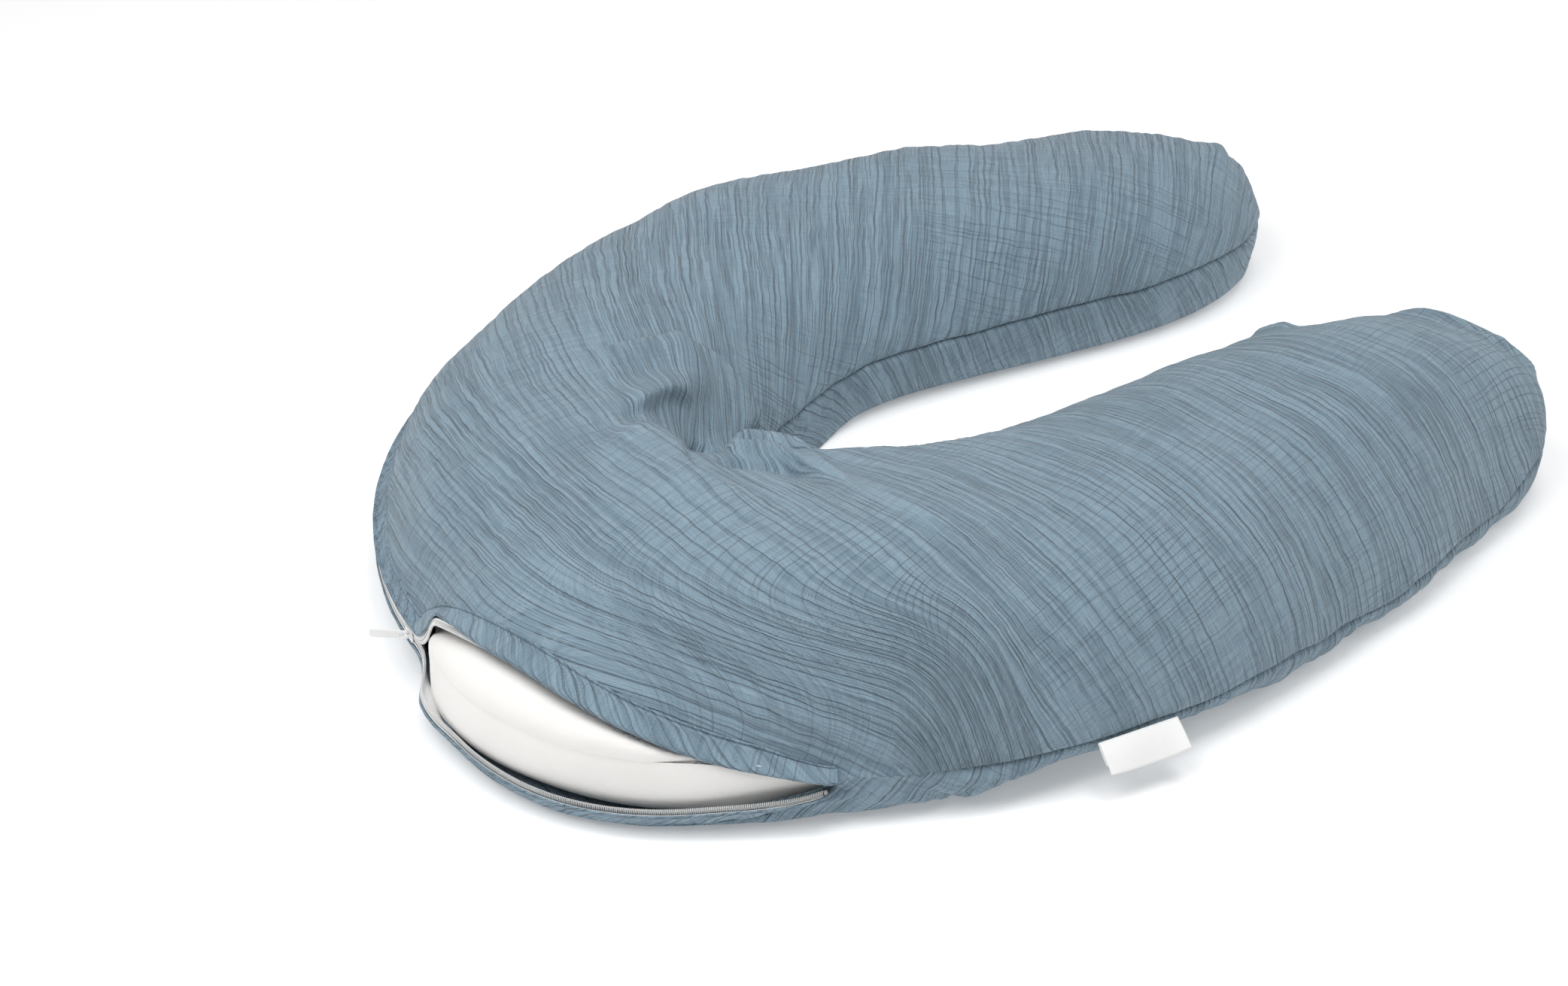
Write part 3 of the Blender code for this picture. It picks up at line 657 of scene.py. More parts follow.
def tube_rings(line, radius, sides, up):
    """Rings of a round thread along a line. up is any direction that isn't along it."""
    ahead = unit(np.gradient(line, axis=0))
    side = unit(np.cross(ahead, up))
    rise = np.cross(side, ahead)
    turn = np.linspace(0, 2 * math.pi, sides, endpoint=False)
    ring = np.cos(turn)[None, :, None] * side[:, None] + np.sin(turn)[None, :, None] * rise[:, None]
    return line[:, None] + ring * np.asarray(radius).reshape(-1, 1, 1)


# ---------------------------------------------------------------- cover and casing


def opening_window(u):
    """1 along the zip's opening and 0 away from it."""
    return span(u, SLIDER_U - 0.05, SLIDER_U + 0.02, CORNER_U + 0.01, CORNER_U + 0.05)


def crinkle_relief(places, strength):
    """The larger crinkles of the gauze, in metres: puffs between valleys that run along the threads."""
    p, q = places[..., 0], places[..., 1]
    p = p + 0.0025 * waves(p * 8, q * 8, 31)
    broad = waves(p * 60, q * 3, 32)
    narrow = waves(p * 108, q * 5.5, 33)
    fade = 0.5 + 0.5 * smooth(waves(p * 9, q * 6, 37), -0.4, 0.4)
    cross = waves(p * 8, q * 70, 34)
    height = -0.00095 * np.exp(-((broad / 0.30) ** 2)) - 0.00060 * fade * np.exp(-((narrow / 0.32) ** 2))
    height += 0.00040 * waves(p * 36, q * 3, 35) - 0.00022 * fade * np.exp(-((cross / 0.25) ** 2))
    return height * strength


def lip_gathers(u, v):
    """How strongly the cloth above the opening is gathered towards its open corner."""
    return smooth(v, 0.25, 0.85) * span(u, *GATHERED_LIP)


def make_cover_top(gauze):
    """The upper panel, with its large folds, the filling's lumps, crinkles and seam puckers."""
    u, v = grid_places(1, *TOP_GRID)
    points = surface(u, v, 1)
    normals = grid_normals(points)
    gathers = lip_gathers(u, v)
    drawn = -0.060 * gathers * smooth(v, 0.4, 1.0)  # how far the gathers have pulled the cloth along the seam
    places = cloth_places(u + drawn, points)
    relief = Relief(points, normals, 1)
    body_folds(relief)
    arm_end_folds(relief)
    inner_gap, outer_gap = gap_to_seams(points)
    seam_gap = np.minimum(inner_gap, outer_gap)
    in_seam = 1 - opening_window(u) * (v > 0)
    height = relief.height + lumps(points) * smooth(seam_gap, 0.004, 0.05)
    height += crinkle_relief(places, (0.75 + 1.3 * gathers) * smooth(seam_gap, 0.0, 0.006))
    sweep = waves(places[..., 0] * 46, places[..., 1] * 5, 36)
    height += 0.0022 * gathers * sweep * smooth(outer_gap, 0.003, 0.02)
    height += seam_pucker(u, inner_gap, 41, 0.0019) + seam_pucker(u, outer_gap, 43, 0.0014) * in_seam
    height += seam_groove(inner_gap) + seam_groove(outer_gap) * in_seam
    height *= smooth(ends(u, 0.0), 0.0, 0.12)
    moved = points + normals * height[..., None] + relief.shift
    moved[..., 2] += seam_wander(u, v)
    skin_piece("cover_top", moved, places, 1, gauze, "cover_cloth", "cover_top_panel")
    return SewnPanel(u, moved, normals)


def side_drape(u, gap):
    """Slack folds of the lower panel that run down from the open corner to the side label."""
    place = np.interp(u, FINE_U, FINE_ARC)
    window = span(u, *LABEL_DRAPE)
    loose = span(u, *FRONT_DRAPE)
    drape = waves(place * 22 - gap * 40, place * 5 + gap * 9, 51)
    crease = -0.0050 * np.exp(-((drape / 0.13) ** 2)) + 0.0060 * drape + 0.0035
    small = waves(place * 70 + gap * 95, gap * 14, 53)
    crease = crease + 0.0015 * small - 0.0014 * np.exp(-((small / 0.2) ** 2))
    return window * crease + 0.0040 * loose * waves(place * 34 + gap * 12, gap * 9, 52)


def make_cover_bottom(gauze):
    """The lower panel: a flat underside and the walls below the seams."""
    u, v = grid_places(-1, *BOTTOM_GRID)
    points = surface(u, v, -1)
    normals = -grid_normals(points)
    places = cloth_places(u, points)
    inner_gap, outer_gap = gap_to_seams(points)
    seam_gap = np.minimum(inner_gap, outer_gap)
    in_seam = 1 - opening_window(u) * (v > 0)
    lifted = smooth(points[..., 2], 0.001, 0.012)
    height = crinkle_relief(places, 0.9 * smooth(seam_gap, 0.0, 0.006))
    height += side_drape(u, outer_gap) * (v > 0) * smooth(outer_gap, 0.002, 0.012)
    height += seam_pucker(u, inner_gap, 45, 0.0026) + seam_pucker(u, outer_gap, 47, 0.0016) * in_seam
    height *= lifted
    height += 2.4 * (seam_groove(inner_gap * 0.8) + seam_groove(outer_gap * 0.8) * in_seam)
    height *= smooth(ends(u, 0.0), 0.0, 0.12)
    moved = points + normals * height[..., None]
    moved[..., 2] += seam_wander(u, v) * smooth(points[..., 2], 0.0, 0.055)
    moved[..., 2] = np.maximum(moved[..., 2], 0.0002)
    skin_piece("cover_bottom", moved, places, -1, gauze, "cover_cloth", "cover_bottom_panel")
    return SewnPanel(u, moved, normals)


def casing_points(side, grid, inset):
    """The casing fills the cover, with slack folds where the opening shows it."""
    u, v = grid_places(side, *grid)
    from_lip = lip_place(u) if side > 0 else 0.82
    shown = opening_window(u) * smooth(v, from_lip, from_lip + 0.06)
    points = surface(u, v, side, inset, False)
    normals = grid_normals(points) * side
    behind_drape = 0.004 * span(u, *DRAPED_CASING) * (v > 0)
    height = -(HIDDEN_DEPTH + behind_drape) * (1 - shown)
    if side > 0:
        relief = Relief(points, normals, side)
        body_folds(relief)
        height = height + 1.2 * np.minimum(relief.height, 0) * (1 - shown) + lumps(points) * (1 - shown)
    outer_gap = gap_to_seams(points)[1]
    place = np.interp(u, FINE_U, FINE_ARC)
    if side > 0:
        slack = 0.0022 * waves(place * 9 - outer_gap * 6, outer_gap * 16, 61)
        slack += 0.0016 * waves(place * 22, outer_gap * 7 + place * 9, 62)
    else:
        slack = 0.0014 * waves(place * 20 + outer_gap * 20, outer_gap * 12, 63)
    height = height + slack * shown * smooth(outer_gap, 0.0, 0.012)
    pulls = 0.0009 * waves(place * 75, outer_gap * 10, 64) * np.exp(-((outer_gap / 0.012) ** 2))
    height = height + (pulls - 0.0014 * np.exp(-((outer_gap / 0.0022) ** 2))) * shown
    height = height * smooth(ends(u, 0.0), 0.0, 0.12)
    moved = points + normals * height[..., None]
    moved[..., 2] = np.maximum(moved[..., 2], inset * 0.9)
    return u, moved


def make_casing(cotton):
    """The smooth inner bag, an upper and a lower panel."""
    for side, name in ((1, "casing_top"), (-1, "casing_bottom")):
        u, points = casing_points(side, CASING_GRID, CASING_DEPTH)
        places = cloth_places(u, points)
        skin_piece(name, points, places, side, cotton, "casing_cotton", f"{name}_panel")


def make_beads(beads):
    """The loose filling: one mass of beads, upper and lower skins in one piece."""
    top = casing_points(1, BEADS_GRID, CASING_DEPTH + BEADS_DEPTH)[1]
    bottom = casing_points(-1, BEADS_GRID, CASING_DEPTH + BEADS_DEPTH)[1]
    count = top.shape[0] * top.shape[1]
    rows = top.shape[:2]
    faces = np.concatenate([grid_faces(*rows, flip=True), grid_faces(*rows) + count])
    mesh = new_mesh("bead_mass", np.concatenate([top, bottom]), faces)
    add_piece("bead_mass", mesh, beads, "pillow", "beads", "bead_filling")


class SewnPanel:
    """A finished panel of the cover, for the bands that are sewn on it."""

    def __init__(self, u, points, normals):
        self.rows = u[:, 0]
        self.points = points
        self.normals = normals
        self.gap = gap_to_seams(points)[1]

    def at(self, u, gaps):
        """Points and outward normals at one u and at distances from the outer edge."""
        row = int(np.clip(np.searchsorted(self.rows, u) - 1, 0, len(self.rows) - 2))
        share = (u - self.rows[row]) / (self.rows[row + 1] - self.rows[row])
        found = []
        for values in (self.points, self.normals):
            near, far = (
                np.stack([np.interp(gaps, self.gap[k][::-1], values[k, ::-1, i]) for i in range(3)], -1)
                for k in (row, row + 1)
            )
            found.append(near + (far - near) * share)
        return found


# ---------------------------------------------------------------- zip


def angle_at(u):
    point = plain_outer(np.array([u]))[0] - ZIP_CENTRE
    return math.atan2(point[1], point[0]) % (2 * math.pi)


CLOSED_U = np.linspace(STOP_U, SLIDER_U, 41)
STOP_ANGLE = angle_at(STOP_U)
SLIDER_ANGLE = angle_at(SLIDER_U)
CHAIN_CENTRE = np.array([*ZIP_CENTRE, OUTER_SEAM_Z])


def arc_out(angle):
    return np.stack([np.cos(angle), np.sin(angle), np.zeros_like(angle)], -1)


def zip_frames(side, closed_steps, leaving_steps, open_steps):
    """Centres of one half's coil from the closed end to the open corner, the ways out of the cloth and back
    along it at each, and u."""
    angles = np.linspace(STOP_ANGLE, SLIDER_ANGLE, closed_steps)
    up = np.array([0, 0, side])
    leaving = np.linspace(SLIDER_U, SLIDER_U + LIP_BLEND_U, leaving_steps + 1)[1:]
    opened = np.linspace(SLIDER_U + LIP_BLEND_U, CORNER_U - CORNER_GAP_U, open_steps + 1)[1:]
    u = np.concatenate([leaving, opened])
    edge = np.ones_like(u)
    lip = surface(u, edge, side)
    back = unit(surface(u, edge - 0.02, side) - lip)
    out = unit(np.cross(np.gradient(lip, u, axis=0), back)) * side
    share = smooth(u, SLIDER_U, SLIDER_U + LIP_BLEND_U)
    free = share * (1 - smooth(u, CORNER_U - LIP_BLEND_U, u[-1]))
    hop = (4 * share * (1 - share))[:, None] * LIP_HOP
    lift = ZIP_STAND_OFF - free[:, None] * LIP_TUCK + hop
    placed = lip + out * lift + back * (COIL_SPLIT - free[:, None] * COIL_OVERHANG)
    carried_angle = np.arctan2(lip[:, 1] - ZIP_CENTRE[1], lip[:, 0] - ZIP_CENTRE[0])
    carried_out = arc_out(carried_angle)
    carried = CHAIN_CENTRE + carried_out * ZIP_RADIUS + up * COIL_SPLIT
    leave = smooth(u, SLIDER_U + 0.001, SLIDER_U + LEAVE_U)[:, None]
    closed = CHAIN_CENTRE + arc_out(angles) * ZIP_RADIUS + up * COIL_SPLIT
    centres = np.concatenate([closed, carried + (placed - carried) * leave])
    outs = np.concatenate([arc_out(angles), unit(carried_out + (out - carried_out) * leave)])
    backs = np.concatenate([np.tile(up, (len(angles), 1)), unit(up + (back - up) * leave)])
    closed_u = np.interp(angles, [angle_at(place) for place in CLOSED_U], CLOSED_U)
    return centres, outs, backs, np.concatenate([closed_u, u])


def resample(line, step, *others):
    """Points at an equal step along a line, with the values that go with them."""
    arc = np.concatenate([[0], np.cumsum(np.linalg.norm(np.diff(line, axis=0), axis=1))])
    count = max(int(arc[-1] / step), 2)
    even = np.linspace(0, arc[-1], count + 1)
    made = []
    for values in (line, *others):
        values = values.reshape(len(line), -1)
        made.append(np.stack([np.interp(even, arc, values[:, k]) for k in range(values.shape[1])], -1))
    return even, *made


BAND_ON_COIL = 0.0012  # how high a band lies over the coil's centre line
COIL_PITCH = 0.00125
COIL_WIRE = 0.00030
COIL_STEPS = 10
COIL_HALF_WIDTH = 0.00215
COIL_HALF_HEIGHT = 0.00085
COIL_SHIFT = 0.0003  # how far the turns reach out past the coil's centre line


def make_coil(side, name, nylon):
    """A spiral of nylon wire, its turns flattened where the other half's turns lock in."""
    centres, outs, backs = zip_frames(side, 60, 60, 80)[:3]
    arc, line, outs, backs = resample(centres, COIL_PITCH / COIL_STEPS, outs, backs)
    turn = 2 * math.pi * arc / COIL_PITCH + (0 if side > 0 else math.pi)
    wide = np.sign(np.cos(turn)) * np.abs(np.cos(turn)) ** 0.7
    thread = line + unit(backs) * (wide * COIL_HALF_WIDTH - COIL_SHIFT)[:, None]
    thread = thread + unit(outs) * (np.sin(turn) * COIL_HALF_HEIGHT)[:, None]
    rings = tube_rings(thread, COIL_WIRE, 5, unit(np.gradient(line, axis=0)))
    mesh = swept(f"coil_{name}", rings)
    add_piece(f"coil_{name}", mesh, nylon, "pillow", "zip_nylon", f"zip_coil_{name}")


def eased_steps(count):
    """Places from 0 to 1, closer together at both ends."""
    return 0.5 - 0.5 * np.cos(np.linspace(0, math.pi, count))


def past_corner(count, step, arc, line, outs, backs, u):
    """Carries the rows of a band straight on past the open corner."""
    more = np.arange(1, count + 1)
    arc = np.concatenate([arc, arc[-1] + more * step])
    line = np.concatenate([line, line[-1] + more[:, None] * (line[-1] - line[-2])])
    outs, backs = (np.concatenate([ways, np.tile(ways[-1], (count, 1))]) for ways in (outs, backs))
    return arc, line, outs, backs, np.concatenate([u, u[-1] + more * (u[-1] - u[-2])])


def lay_band(side, panel, near, far, rise, thick, raised=0.0, step=0.0016, steps_across=17, past_end=0):
    """A band of cloth along one half of the zip: its near edge by the coil, the rest down on a panel.

    near is a function of how free the coil lies, far of how close the open corner is, and rise of the places
    along the band and across it and of the corner too. raised lifts the near edge where the coil lies free.
    Returns the length along the band, its rings, the places across them, the outer points and the normals.
    """
    centres, outs, backs, u = zip_frames(side, 90, 80, 140)
    arc, line, outs, backs, u = resample(centres, step, outs, backs, u)
    arc, line, outs, backs, u = past_corner(past_end, step, arc, line, unit(outs), unit(backs), u[:, 0])
    corner = smooth(u, CORNER_U - 0.022, CORNER_U - 0.003)
    ending = smooth(u, CORNER_U - 0.003, CORNER_U + 0.004)
    free = smooth(u, SLIDER_U + 0.010, SLIDER_U + 0.040)
    share = eased_steps(steps_across)
    rounded = np.sqrt(1 - (1 - np.clip(share / 0.12, 0, 1)) ** 2)
    middles, ways, gaps = [], [], []
    for k in range(len(line)):
        gap = far(corner[k]) * share
        spot, normal = panel.at(u[k], gap)
        lift = rise(arc[k], share, corner[k]) * (1 - 0.8 * ending[k])
        on_panel = spot + normal * lift[:, None]
        above = BAND_ON_COIL + 0.3 * lift + raised * free[k]
        on_coil = line[k] + backs[k] * (near(free[k]) + 0.5 * gap)[:, None] + outs[k] * above[:, None]
        blend = smooth(share, 0.25, 0.70)[:, None]
        blend = blend + (1 - blend) * ending[k]
        middles.append(on_coil + (on_panel - on_coil) * blend)
        ways.append(unit(outs[k] + (normal - outs[k]) * blend))
        gaps.append(gap)
    middles, ways, gaps = np.array(middles), np.array(ways), np.array(gaps)
    half = (thick / 2 * rounded)[None, :, None]
    rings = np.concatenate([middles + ways * half, (middles - ways * half)[:, :0:-1]], axis=1)
    across = np.concatenate([gaps, gaps[:, :0:-1]], axis=1)
    return arc, rings, across, middles + ways * half, ways


def make_tape(side, name, panel, woven):
    """The woven tape that carries the coil, with its edge in view where the lip stands open."""

    def near(free):
        return 0.0014

    def far(corner):
        return 0.0095 - 0.0050 * corner

    def rise(along, share, corner):
        return 0.0006 + 0.0002 * waves(along * 90, share * 2, 71)

    arc, rings, across = lay_band(side, panel, near, far, rise, thick=0.0006)[:3]
    places = np.stack([arc[:, None] + 0 * across, across], -1)
    mesh = swept(f"tape_{name}", rings, places)
    add_piece(f"tape_{name}", mesh, woven, "pillow", "zip_tape", f"zip_tape_{name}")


TOPSTITCH_SHARE = 0.86  # share of a facing's width at which its stitches run


def make_facing(side, name, width, hides_coil, panel, gauze, thread):
    """The folded band of cloth over a tape. Its far edge is sewn down with a line of stitches."""

    def near(free):
        return 0.0052 - hides_coil * free

    def far(corner):
        return width * (1 - 0.40 * corner)

    def rise(along, share, corner):
        crimp = 0.0008 * waves(along * 115 + share * 1.2, share * 2.2, 79 + side) * np.sin(math.pi * share)
        puff = 0.0020 * (1 - share**3) * (0.7 + 0.5 * waves(along * 42, share * 0.7, 81 + side))
        sewn = 0.0024 * np.exp(-(((share - TOPSTITCH_SHARE) / 0.06) ** 2))
        over_stop = 0.0048 * corner * (1 - smooth(share, 0.55, 0.95))
        return 0.0010 + crimp + puff - sewn - 0.0012 * smooth(share, 0.93, 1.0) + over_stop

    arc, rings, across, outer, ways = lay_band(
        side, panel, near, far, rise, thick=0.0018, raised=0.0014, step=0.0014, steps_across=23, past_end=7
    )
    along = arc[:, None] + 0 * across
    places = np.stack([along * 0.5 + across, along * 0.87 - across * 0.5], -1)
    mesh = swept(f"facing_{name}", rings, places)
    add_piece(f"facing_{name}", mesh, gauze, "pillow", "cover_cloth", f"zip_facing_{name}")
    column = int(np.argmin(np.abs(eased_steps(outer.shape[1]) - TOPSTITCH_SHARE)))
    make_stitches(f"topstitch_{name}", outer[:, column], ways[:, column], thread)


STITCH_LENGTH = 0.0026
STITCH_PITCH = 0.0034
THREAD_RADIUS = 0.00028


def make_stitches(name, line, outs, thread):
    """A row of machine stitches, each a short bowed thread with both ends in the cloth."""
    arc, line, outs = resample(line, 0.0004, outs)
    arc = arc.ravel()
    rings = []
    for start in np.arange(STITCH_PITCH, arc[-1] - STITCH_PITCH, STITCH_PITCH):
        places = start + STITCH_LENGTH * np.linspace(0, 1, 6)
        spots = np.stack([np.interp(places, arc, line[:, k]) for k in range(3)], -1)
        ways = unit(np.stack([np.interp(places, arc, outs[:, k]) for k in range(3)], -1))
        bow = 0.0005 * np.sin(np.linspace(0, math.pi, 6)) - 0.0002
        rings.append(tube_rings(spots + ways * bow[:, None], THREAD_RADIUS, 5, ways))
    rings = np.array(rings)
    count, steps, sides = rings.shape[:3]
    one = closed_faces(steps, sides)
    faces = [[i + k * steps * sides for i in face] for k in range(count) for face in one]
    mesh = new_mesh(name, rings, faces)
    turn_out(mesh)
    add_piece(name, mesh, thread, "pillow", "cover_cloth")


# ---------------------------------------------------------------- label


LABEL_HALF_THICKNESS = 0.00035
LABEL_OPENING = 0.0016  # how far the two plies stand off their middle
LABEL_SEWN_IN = 0.0012
LABEL_PLY = 0.42  # share of the section that each ply takes up, with the fold between
LABEL_FOLD = 0.16


def label_frame():
    """A point of the label's seam, the ways along it and out from it, and the label's length and reach."""
    node = frame["nodes"]["side_label"]
    corners = np.array([corner.co for corner in node.data.vertices], float)
    joint = next(j for j in frame["joints"] if j["child"] == "side_label")
    edge = np.array(joint["pos_m"], float)
    along = -unit(np.array(joint["axis"], float))
    reach_to = corners - edge
    reach_to = reach_to - (reach_to @ along)[:, None] * along
    reach_way = unit(reach_to[np.linalg.norm(reach_to, axis=1).argmax()])
    return edge, along, reach_way, np.ptp((corners - edge) @ along), ((corners - edge) @ reach_way).max()


def label_section(reach):
    """The folded tape cut across its length: out along one face of both plies and back along the other."""
    loop = []
    for t in np.linspace(0, 1, 23):
        if t < LABEL_PLY:
            share = t / LABEL_PLY
            loop.append((share, -1 + 0.5 * share**2))
        elif t > LABEL_PLY + LABEL_FOLD:
            share = (1 - t) / LABEL_PLY
            loop.append((share, 1 - 0.5 * share**2))
        else:
            bend = (t - LABEL_PLY) / LABEL_FOLD * math.pi
            loop.append((1 + 0.035 * math.sin(bend), -0.5 * math.cos(bend)))
    outwards, open_share = np.array(loop).T
    across = outwards * (reach - LABEL_SEWN_IN)
    height = open_share * LABEL_OPENING * (0.4 + 0.6 * np.sin(math.pi * np.clip(outwards, 0, 1)))
    middle_line = np.stack([across, height], -1)
    tangent = np.gradient(middle_line, axis=0)
    side = unit(np.stack([tangent[:, 1], -tangent[:, 0]], -1)) * LABEL_HALF_THICKNESS
    return np.concatenate([middle_line + side, (middle_line - side)[::-1]])


def make_side_label(satin):
    """A folded loop of satin tape, bowed and with its two ends sewn in the seam."""
    edge, along, reach_way, length, reach = label_frame()
    section = label_section(reach)
    x = np.linspace(-0.5, 0.5, 49) * length
    bow = 0.0030 * (1 - (2 * x / length) ** 2) + 0.0012 * np.sin(x * 90 + 0.6)
    curl = 0.0035 * (x / length + 0.5) ** 2
    drawn_in = 0.0008 * np.abs(2 * x / length) ** 3
    sag = (section[:, 0] / reach).clip(0, 1) ** 1.6
    points = edge + along * x[:, None, None] + reach_way * section[None, :, :1]
    rise = section[None, :, 1:] + ((bow - curl)[:, None] * sag[None])[..., None]
    points = points + unit(np.cross(along, reach_way)) * rise
    points = points - reach_way * (drawn_in[:, None] * sag[None])[..., None]
    places = np.stack(np.broadcast_arrays(x[:, None], section[None, :, 0]), -1)
    mesh = swept("label_loop", points, places)
    label = add_piece("label_loop", mesh, satin, "side_label", "label_tape", "side_label")


# ---------------------------------------------------------------- materials


def new_group(name, inputs, outputs):
    """An empty node group. inputs and outputs are (name, type) or (name, type, value)."""
    group = bpy.data.node_groups.new(name, "ShaderNodeTree")
    for kinds, way in ((inputs, "INPUT"), (outputs, "OUTPUT")):
        for label, kind, *value in kinds:
            socket = group.interface.new_socket(label, in_out=way, socket_type=kind)
            if value:
                socket.default_value = value[0]
    return group, group.nodes.new("NodeGroupInput"), group.nodes.new("NodeGroupOutput")


def feed(tree, node, **inputs):
    """Gives a node's inputs values, or links from other sockets.

    An input goes by its name, with underscores for spaces, or by its number as i0, i1 and so on.
    """
    for key, value in inputs.items():
        numbered = key[0] == "i" and key[1:].isdigit()
        socket = node.inputs[int(key[1:]) if numbered else key.replace("_", " ")]
        if isinstance(value, bpy.types.NodeSocket):
            tree.links.new(value, socket)
        else:
            socket.default_value = value
    return node


def add_node(tree, kind, settings=None, **inputs):
    """A node with its settings, and its inputs as values or as links from other sockets."""
    node = tree.nodes.new(kind)
    for key, value in (settings or {}).items():
        setattr(node, key, value)
    return feed(tree, node, **inputs)


def sums(tree, operation, a, b=0.0, c=0.0):
    return add_node(tree, "ShaderNodeMath", {"operation": operation}, i0=a, i1=b, i2=c).outputs[0]


def scaled(tree, place, size, shift=(0, 0, 0)):
    """A place multiplied by a size on each axis."""
    settings = {"vector_type": "POINT"}
    return add_node(tree, "ShaderNodeMapping", settings, Vector=place, Scale=size, Location=shift).outputs[0]


def noise(tree, place, detail=1.0, roughness=0.5):
    form = {"Scale": 1.0, "Detail": detail, "Roughness": roughness}
    return add_node(tree, "ShaderNodeTexNoise", {"noise_dimensions": "2D"}, Vector=place, **form)


def valleys(tree, place, size, width, shift=(0, 0, 0)):
    """1 along thin lines where a noise crosses its middle, 0 on the puffs between."""
    value = noise(tree, scaled(tree, place, size, shift)).outputs[0]
    off = sums(tree, "ABSOLUTE", sums(tree, "SUBTRACT", value, 0.5))
    settings = {"interpolation_type": "SMOOTHSTEP"}
    puff = add_node(tree, "ShaderNodeMapRange", settings, Value=off, From_Min=0.0, From_Max=width).outputs[0]
    return sums(tree, "SUBTRACT", 1.0, puff)


def wandering(tree, place, size, amount):
    """A place shifted by a noise, so that lines drawn on it wander."""
    drift = noise(tree, scaled(tree, place, size)).outputs["Color"]
    drift = add_node(tree, "ShaderNodeVectorMath", {"operation": "SCALE"}, i0=drift, Scale=amount).outputs[0]
    return add_node(tree, "ShaderNodeVectorMath", {"operation": "ADD"}, i0=place, i1=drift).outputs[0]


def crinkle_group():
    """Crinkles of double gauze, with a mask of their valleys for painted shade. Place is in metres, across the
    crinkles and along them.
    """
    group, given, result = new_group(
        "gauze_crinkle",
        [("Place", "NodeSocketVector"), ("Cross lines", "NodeSocketFloat", 0.4)],
        [("Height", "NodeSocketFloat"), ("Valleys", "NodeSocketFloat")],
    )
    place = wandering(group, given.outputs["Place"], (9, 9, 9), 0.006)
    place = wandering(group, place, (40, 70, 1), 0.0022)
    main = valleys(group, place, (120, 4, 1), 0.085)
    second = valleys(group, place, (235, 9, 1), 0.10, (3, 5, 0))
    cross = valleys(group, place, (7, 135, 1), 0.08, (2, 9, 0))
    fine = noise(group, scaled(group, place, (420, 30, 1), (7, 1, 0)), 2.0, 0.6).outputs[0]
    patch = noise(group, scaled(group, place, (7, 5, 1), (4, 4, 0))).outputs[0]
    patch = add_node(group, "ShaderNodeMapRange", None, Value=patch, From_Min=0.38, From_Max=0.62).outputs[0]
    rest = sums(group, "SUBTRACT", 1.0, patch)
    cross = sums(group, "MULTIPLY", cross, given.outputs["Cross lines"])
    cross = sums(group, "MULTIPLY", cross, sums(group, "MULTIPLY_ADD", patch, 0.85, 0.15))
    second = sums(group, "MULTIPLY", second, sums(group, "MULTIPLY_ADD", rest, 0.7, 0.3))
    height = sums(group, "MULTIPLY_ADD", main, -0.55, sums(group, "MULTIPLY_ADD", second, -0.42, 1.0))
    height = sums(group, "MULTIPLY_ADD", fine, 0.42, height)
    height = sums(group, "MULTIPLY_ADD", cross, -0.40, height)
    # Painted shade: a mask of the valleys, where the gauze's colour is darkened as if shaded.
    painted_valley_shade = sums(group, "MULTIPLY_ADD", second, 0.40, sums(group, "MULTIPLY", main, 0.60))
    painted_valley_shade = sums(group, "MULTIPLY_ADD", cross, 0.40, painted_valley_shade)
    group.links.new(height, result.inputs["Height"])
    group.links.new(painted_valley_shade, result.inputs["Valleys"])
    return group


def weave_group():
    """A plain weave of uneven threads. Place is in metres and Threads in threads to a metre."""
    group, given, result = new_group(
        "plain_weave",
        [("Place", "NodeSocketVector"), ("Threads", "NodeSocketFloat", 1600.0)],
        [("Height", "NodeSocketFloat"), ("Slub", "NodeSocketFloat")],
    )
    place = given.outputs["Place"]
    turns = sums(group, "MULTIPLY", given.outputs["Threads"], math.pi)
    split = add_node(group, "ShaderNodeSeparateXYZ", None, Vector=place)
    over = sums(group, "SINE", sums(group, "MULTIPLY", split.outputs[0], turns))
    under = sums(group, "SINE", sums(group, "MULTIPLY", split.outputs[1], turns))
    height = sums(group, "MULTIPLY_ADD", sums(group, "MULTIPLY", over, under), 0.5, 0.5)
    warp = noise(group, scaled(group, place, (900, 60, 1)), 2.0).outputs[0]
    weft = noise(group, scaled(group, place, (60, 900, 1), (5, 2, 0)), 2.0).outputs[0]
    slub = sums(group, "MULTIPLY", sums(group, "ADD", warp, weft), 0.5)
    height = sums(group, "MULTIPLY_ADD", slub, 1.4, height)
    group.links.new(height, result.inputs["Height"])
    group.links.new(slub, result.inputs["Slub"])
    return group


def mottle_group():
    """Slow uneven tone, from 0 to 1. Place is in metres and Patches in patches to a metre."""
    group, given, result = new_group(
        "uneven_tone",
        [("Place", "NodeSocketVector"), ("Patches", "NodeSocketFloat", 12.0)],
        [("Tone", "NodeSocketFloat")],
    )
    where = {"Vector": given.outputs["Place"], "Scale": given.outputs["Patches"]}
    tone = add_node(group, "ShaderNodeTexNoise", {"noise_dimensions": "3D"}, Detail=3.0, **where)
    group.links.new(tone.outputs[0], result.inputs["Tone"])
    return group


def use_group(tree, group, **inputs):
    node = tree.nodes.new("ShaderNodeGroup")
    node.node_tree = group
    return feed(tree, node, **inputs)


def start_material(name, roughness, **constants):
    """A material with its Principled shader, and the shader's plain values set on its own sockets."""
    made = bpy.data.materials.new(name)
    made.use_nodes = True
    tree = made.node_tree
    shader = tree.nodes["Principled BSDF"]
    return made, tree, feed(tree, shader, Roughness=roughness, **constants)


def mix_colours(tree, share, first, second):
    """Between two colours by a share. Each is a colour or a socket."""
    return add_node(tree, "ShaderNodeMix", {"data_type": "RGBA"}, i0=share, i6=first, i7=second).outputs[2]


def uneven(tree, place, patches, first, second):
    """A colour that wanders between two, and the tone that it follows."""
    tone = use_group(tree, GROUPS["tone"], Place=place, Patches=patches).outputs[0]
    return mix_colours(tree, tone, first, second), tone


